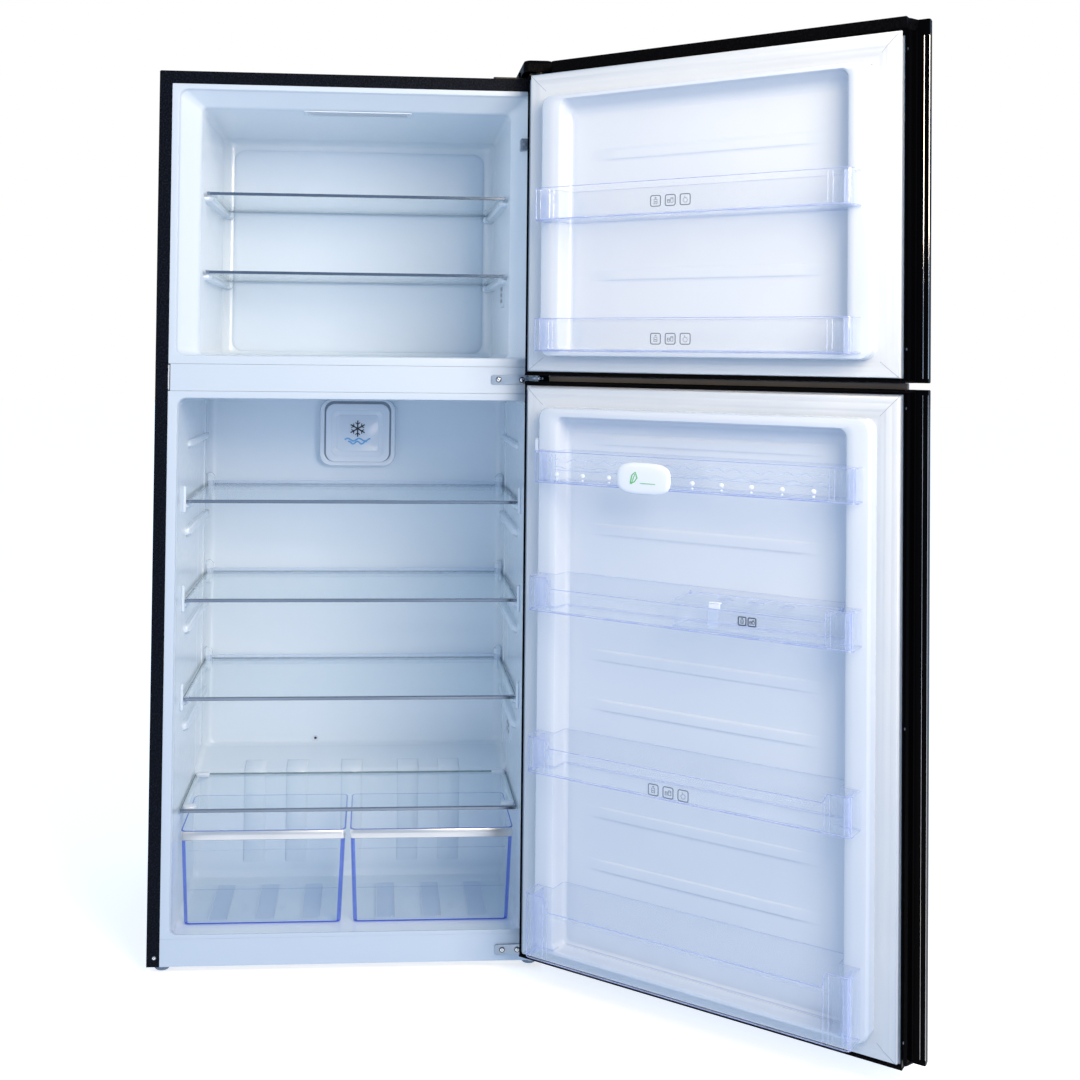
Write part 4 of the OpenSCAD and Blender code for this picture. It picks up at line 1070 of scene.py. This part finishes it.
plain_nodes()
freezer_interior()
fridge_interior()
air_vent()
lamps()
shelf_pieces()
for hand in ("left", "right"):
    crisper("crisper_" + hand, hand + "_drawer")
door_skin("freezer_door", (1240.7, 1728), (1231, 1738), (1620, 1388))
door_skin("fridge_door", (94.7, 1112), (87, 1132), (1072, 900, 660, 566, 362, 262))
gasket("freezer_door")
gasket("fridge_door")
door_bin("freezer_bin_upper", "freezer_high_bin", marks=(51, 1514, 3))
door_bin("freezer_bin_lower", "freezer_low_bin", marks=(49, 1265, 3))
door_bin("dairy_bin", "dairy", band=(762, 786), drop=20)
for bin_node, bin_body, band_low, bin_marks, front_drop in (
    ("bin_middle", "mid_bin", 18, (46, 458, 3), 16), ("bin_bottom", "low_bin", 28, None, 26),
):
    rim = Box(bin_node, True).z1
    door_bin(bin_node, bin_body, (rim - 36, rim - band_low), bin_marks, front_drop)
air_module()
dairy()
door_caps()
fasteners()
hinge_cover()
feet()
trim_parts()
foam_cores()

# ---- stage, light, camera


FLOOR = 30.0  # metres from the middle to an edge
BLUE_SKY = (0.42, 0.575, 0.80, 1)  # lights the object; the camera sees white
LIGHTS = (  # name, place, aim, size, watts, colour
    ("key", (1.1, -2.0, 2.15), (0.1, 0.3, 1.3), (1.2, 1.2), 48, (1.0, 0.80, 0.55)),
    ("front", (2.0, -3.2, 1.6), (0.0, 0.4, 1.2), (1.2, 1.2), 29, (1.0, 0.86, 0.78)),
    ("side", (-2.4, -1.9, 1.9), (0.4, 0.0, 1.2), (1.4, 1.8), 13, (1.0, 0.66, 0.20)),
)
LENS, SHIFT_X, SHIFT_Y = 45.13, 0.0659, -0.1963
EYE = (0.0436, -2.7354, 1.2328)  # metres
EYE_TURN = (-0.0192, -0.0682, 0.0117)  # axis times angle, from a look straight back


def studio():
    me = bpy.data.meshes.new("floor")
    me.from_pydata([(-FLOOR, -FLOOR, 0), (FLOOR, -FLOOR, 0), (FLOOR, FLOOR, 0), (-FLOOR, FLOOR, 0)], [],
                   [(0, 1, 2, 3)])
    floor = new_object("floor", me)
    n = Nodes("floor_pale")
    b = n.new("BsdfPrincipled", Roughness=0.7, Emission_Color=(1, 1, 1, 1), Emission_Strength=0.6,
              Base_Color=n.tint(n.noise(2.0), (0.93, 0.93, 0.935), (0.95, 0.95, 0.955)))
    n.done(b.outputs[0])
    me.materials.append(n.mat)
    floor.visible_diffuse = False

    world = bpy.data.worlds.new("studio")
    SCENE.world = world
    world.use_nodes = True
    tree = world.node_tree
    bg = tree.nodes["Background"]
    bg.inputs[1].default_value = 1.0
    seen = tree.nodes.new("ShaderNodeLightPath")
    sky = tree.nodes.new("ShaderNodeMix")
    sky.data_type = "RGBA"
    sky.inputs[6].default_value = BLUE_SKY
    sky.inputs[7].default_value = (1.0, 1.0, 1.0, 1)
    tree.links.new(seen.outputs["Is Camera Ray"], sky.inputs[0])
    tree.links.new(sky.outputs[2], bg.inputs[0])

    for name, loc, aim, size, power, colour in LIGHTS:
        data = bpy.data.lights.new(name, "AREA")
        data.shape = "RECTANGLE"
        data.size, data.size_y = size
        data.energy = power
        data.color = colour
        o = new_object(name, data)
        o.location = loc
        o.rotation_euler = (Vector(aim) - Vector(loc)).to_track_quat("-Z", "Y").to_euler()


def camera():
    data = bpy.data.cameras.new("view")
    data.sensor_width = 36
    data.lens, data.shift_x, data.shift_y = LENS, SHIFT_X, SHIFT_Y
    cam = new_object("view", data)
    turn = Vector(EYE_TURN)
    tilt = Matrix.Rotation(turn.length, 3, turn.normalized())
    right, down, ahead = (tilt @ Matrix(((1, 0, 0), (0, 0, -1), (0, 1, 0))))
    m = Matrix((right, -down, -ahead)).transposed().to_4x4()
    m.translation = EYE
    cam.matrix_world = m
    SCENE.camera = cam


studio()
camera()
SCENE.view_settings.view_transform = "Standard"
SCENE.cycles.transparent_max_bounces = 32
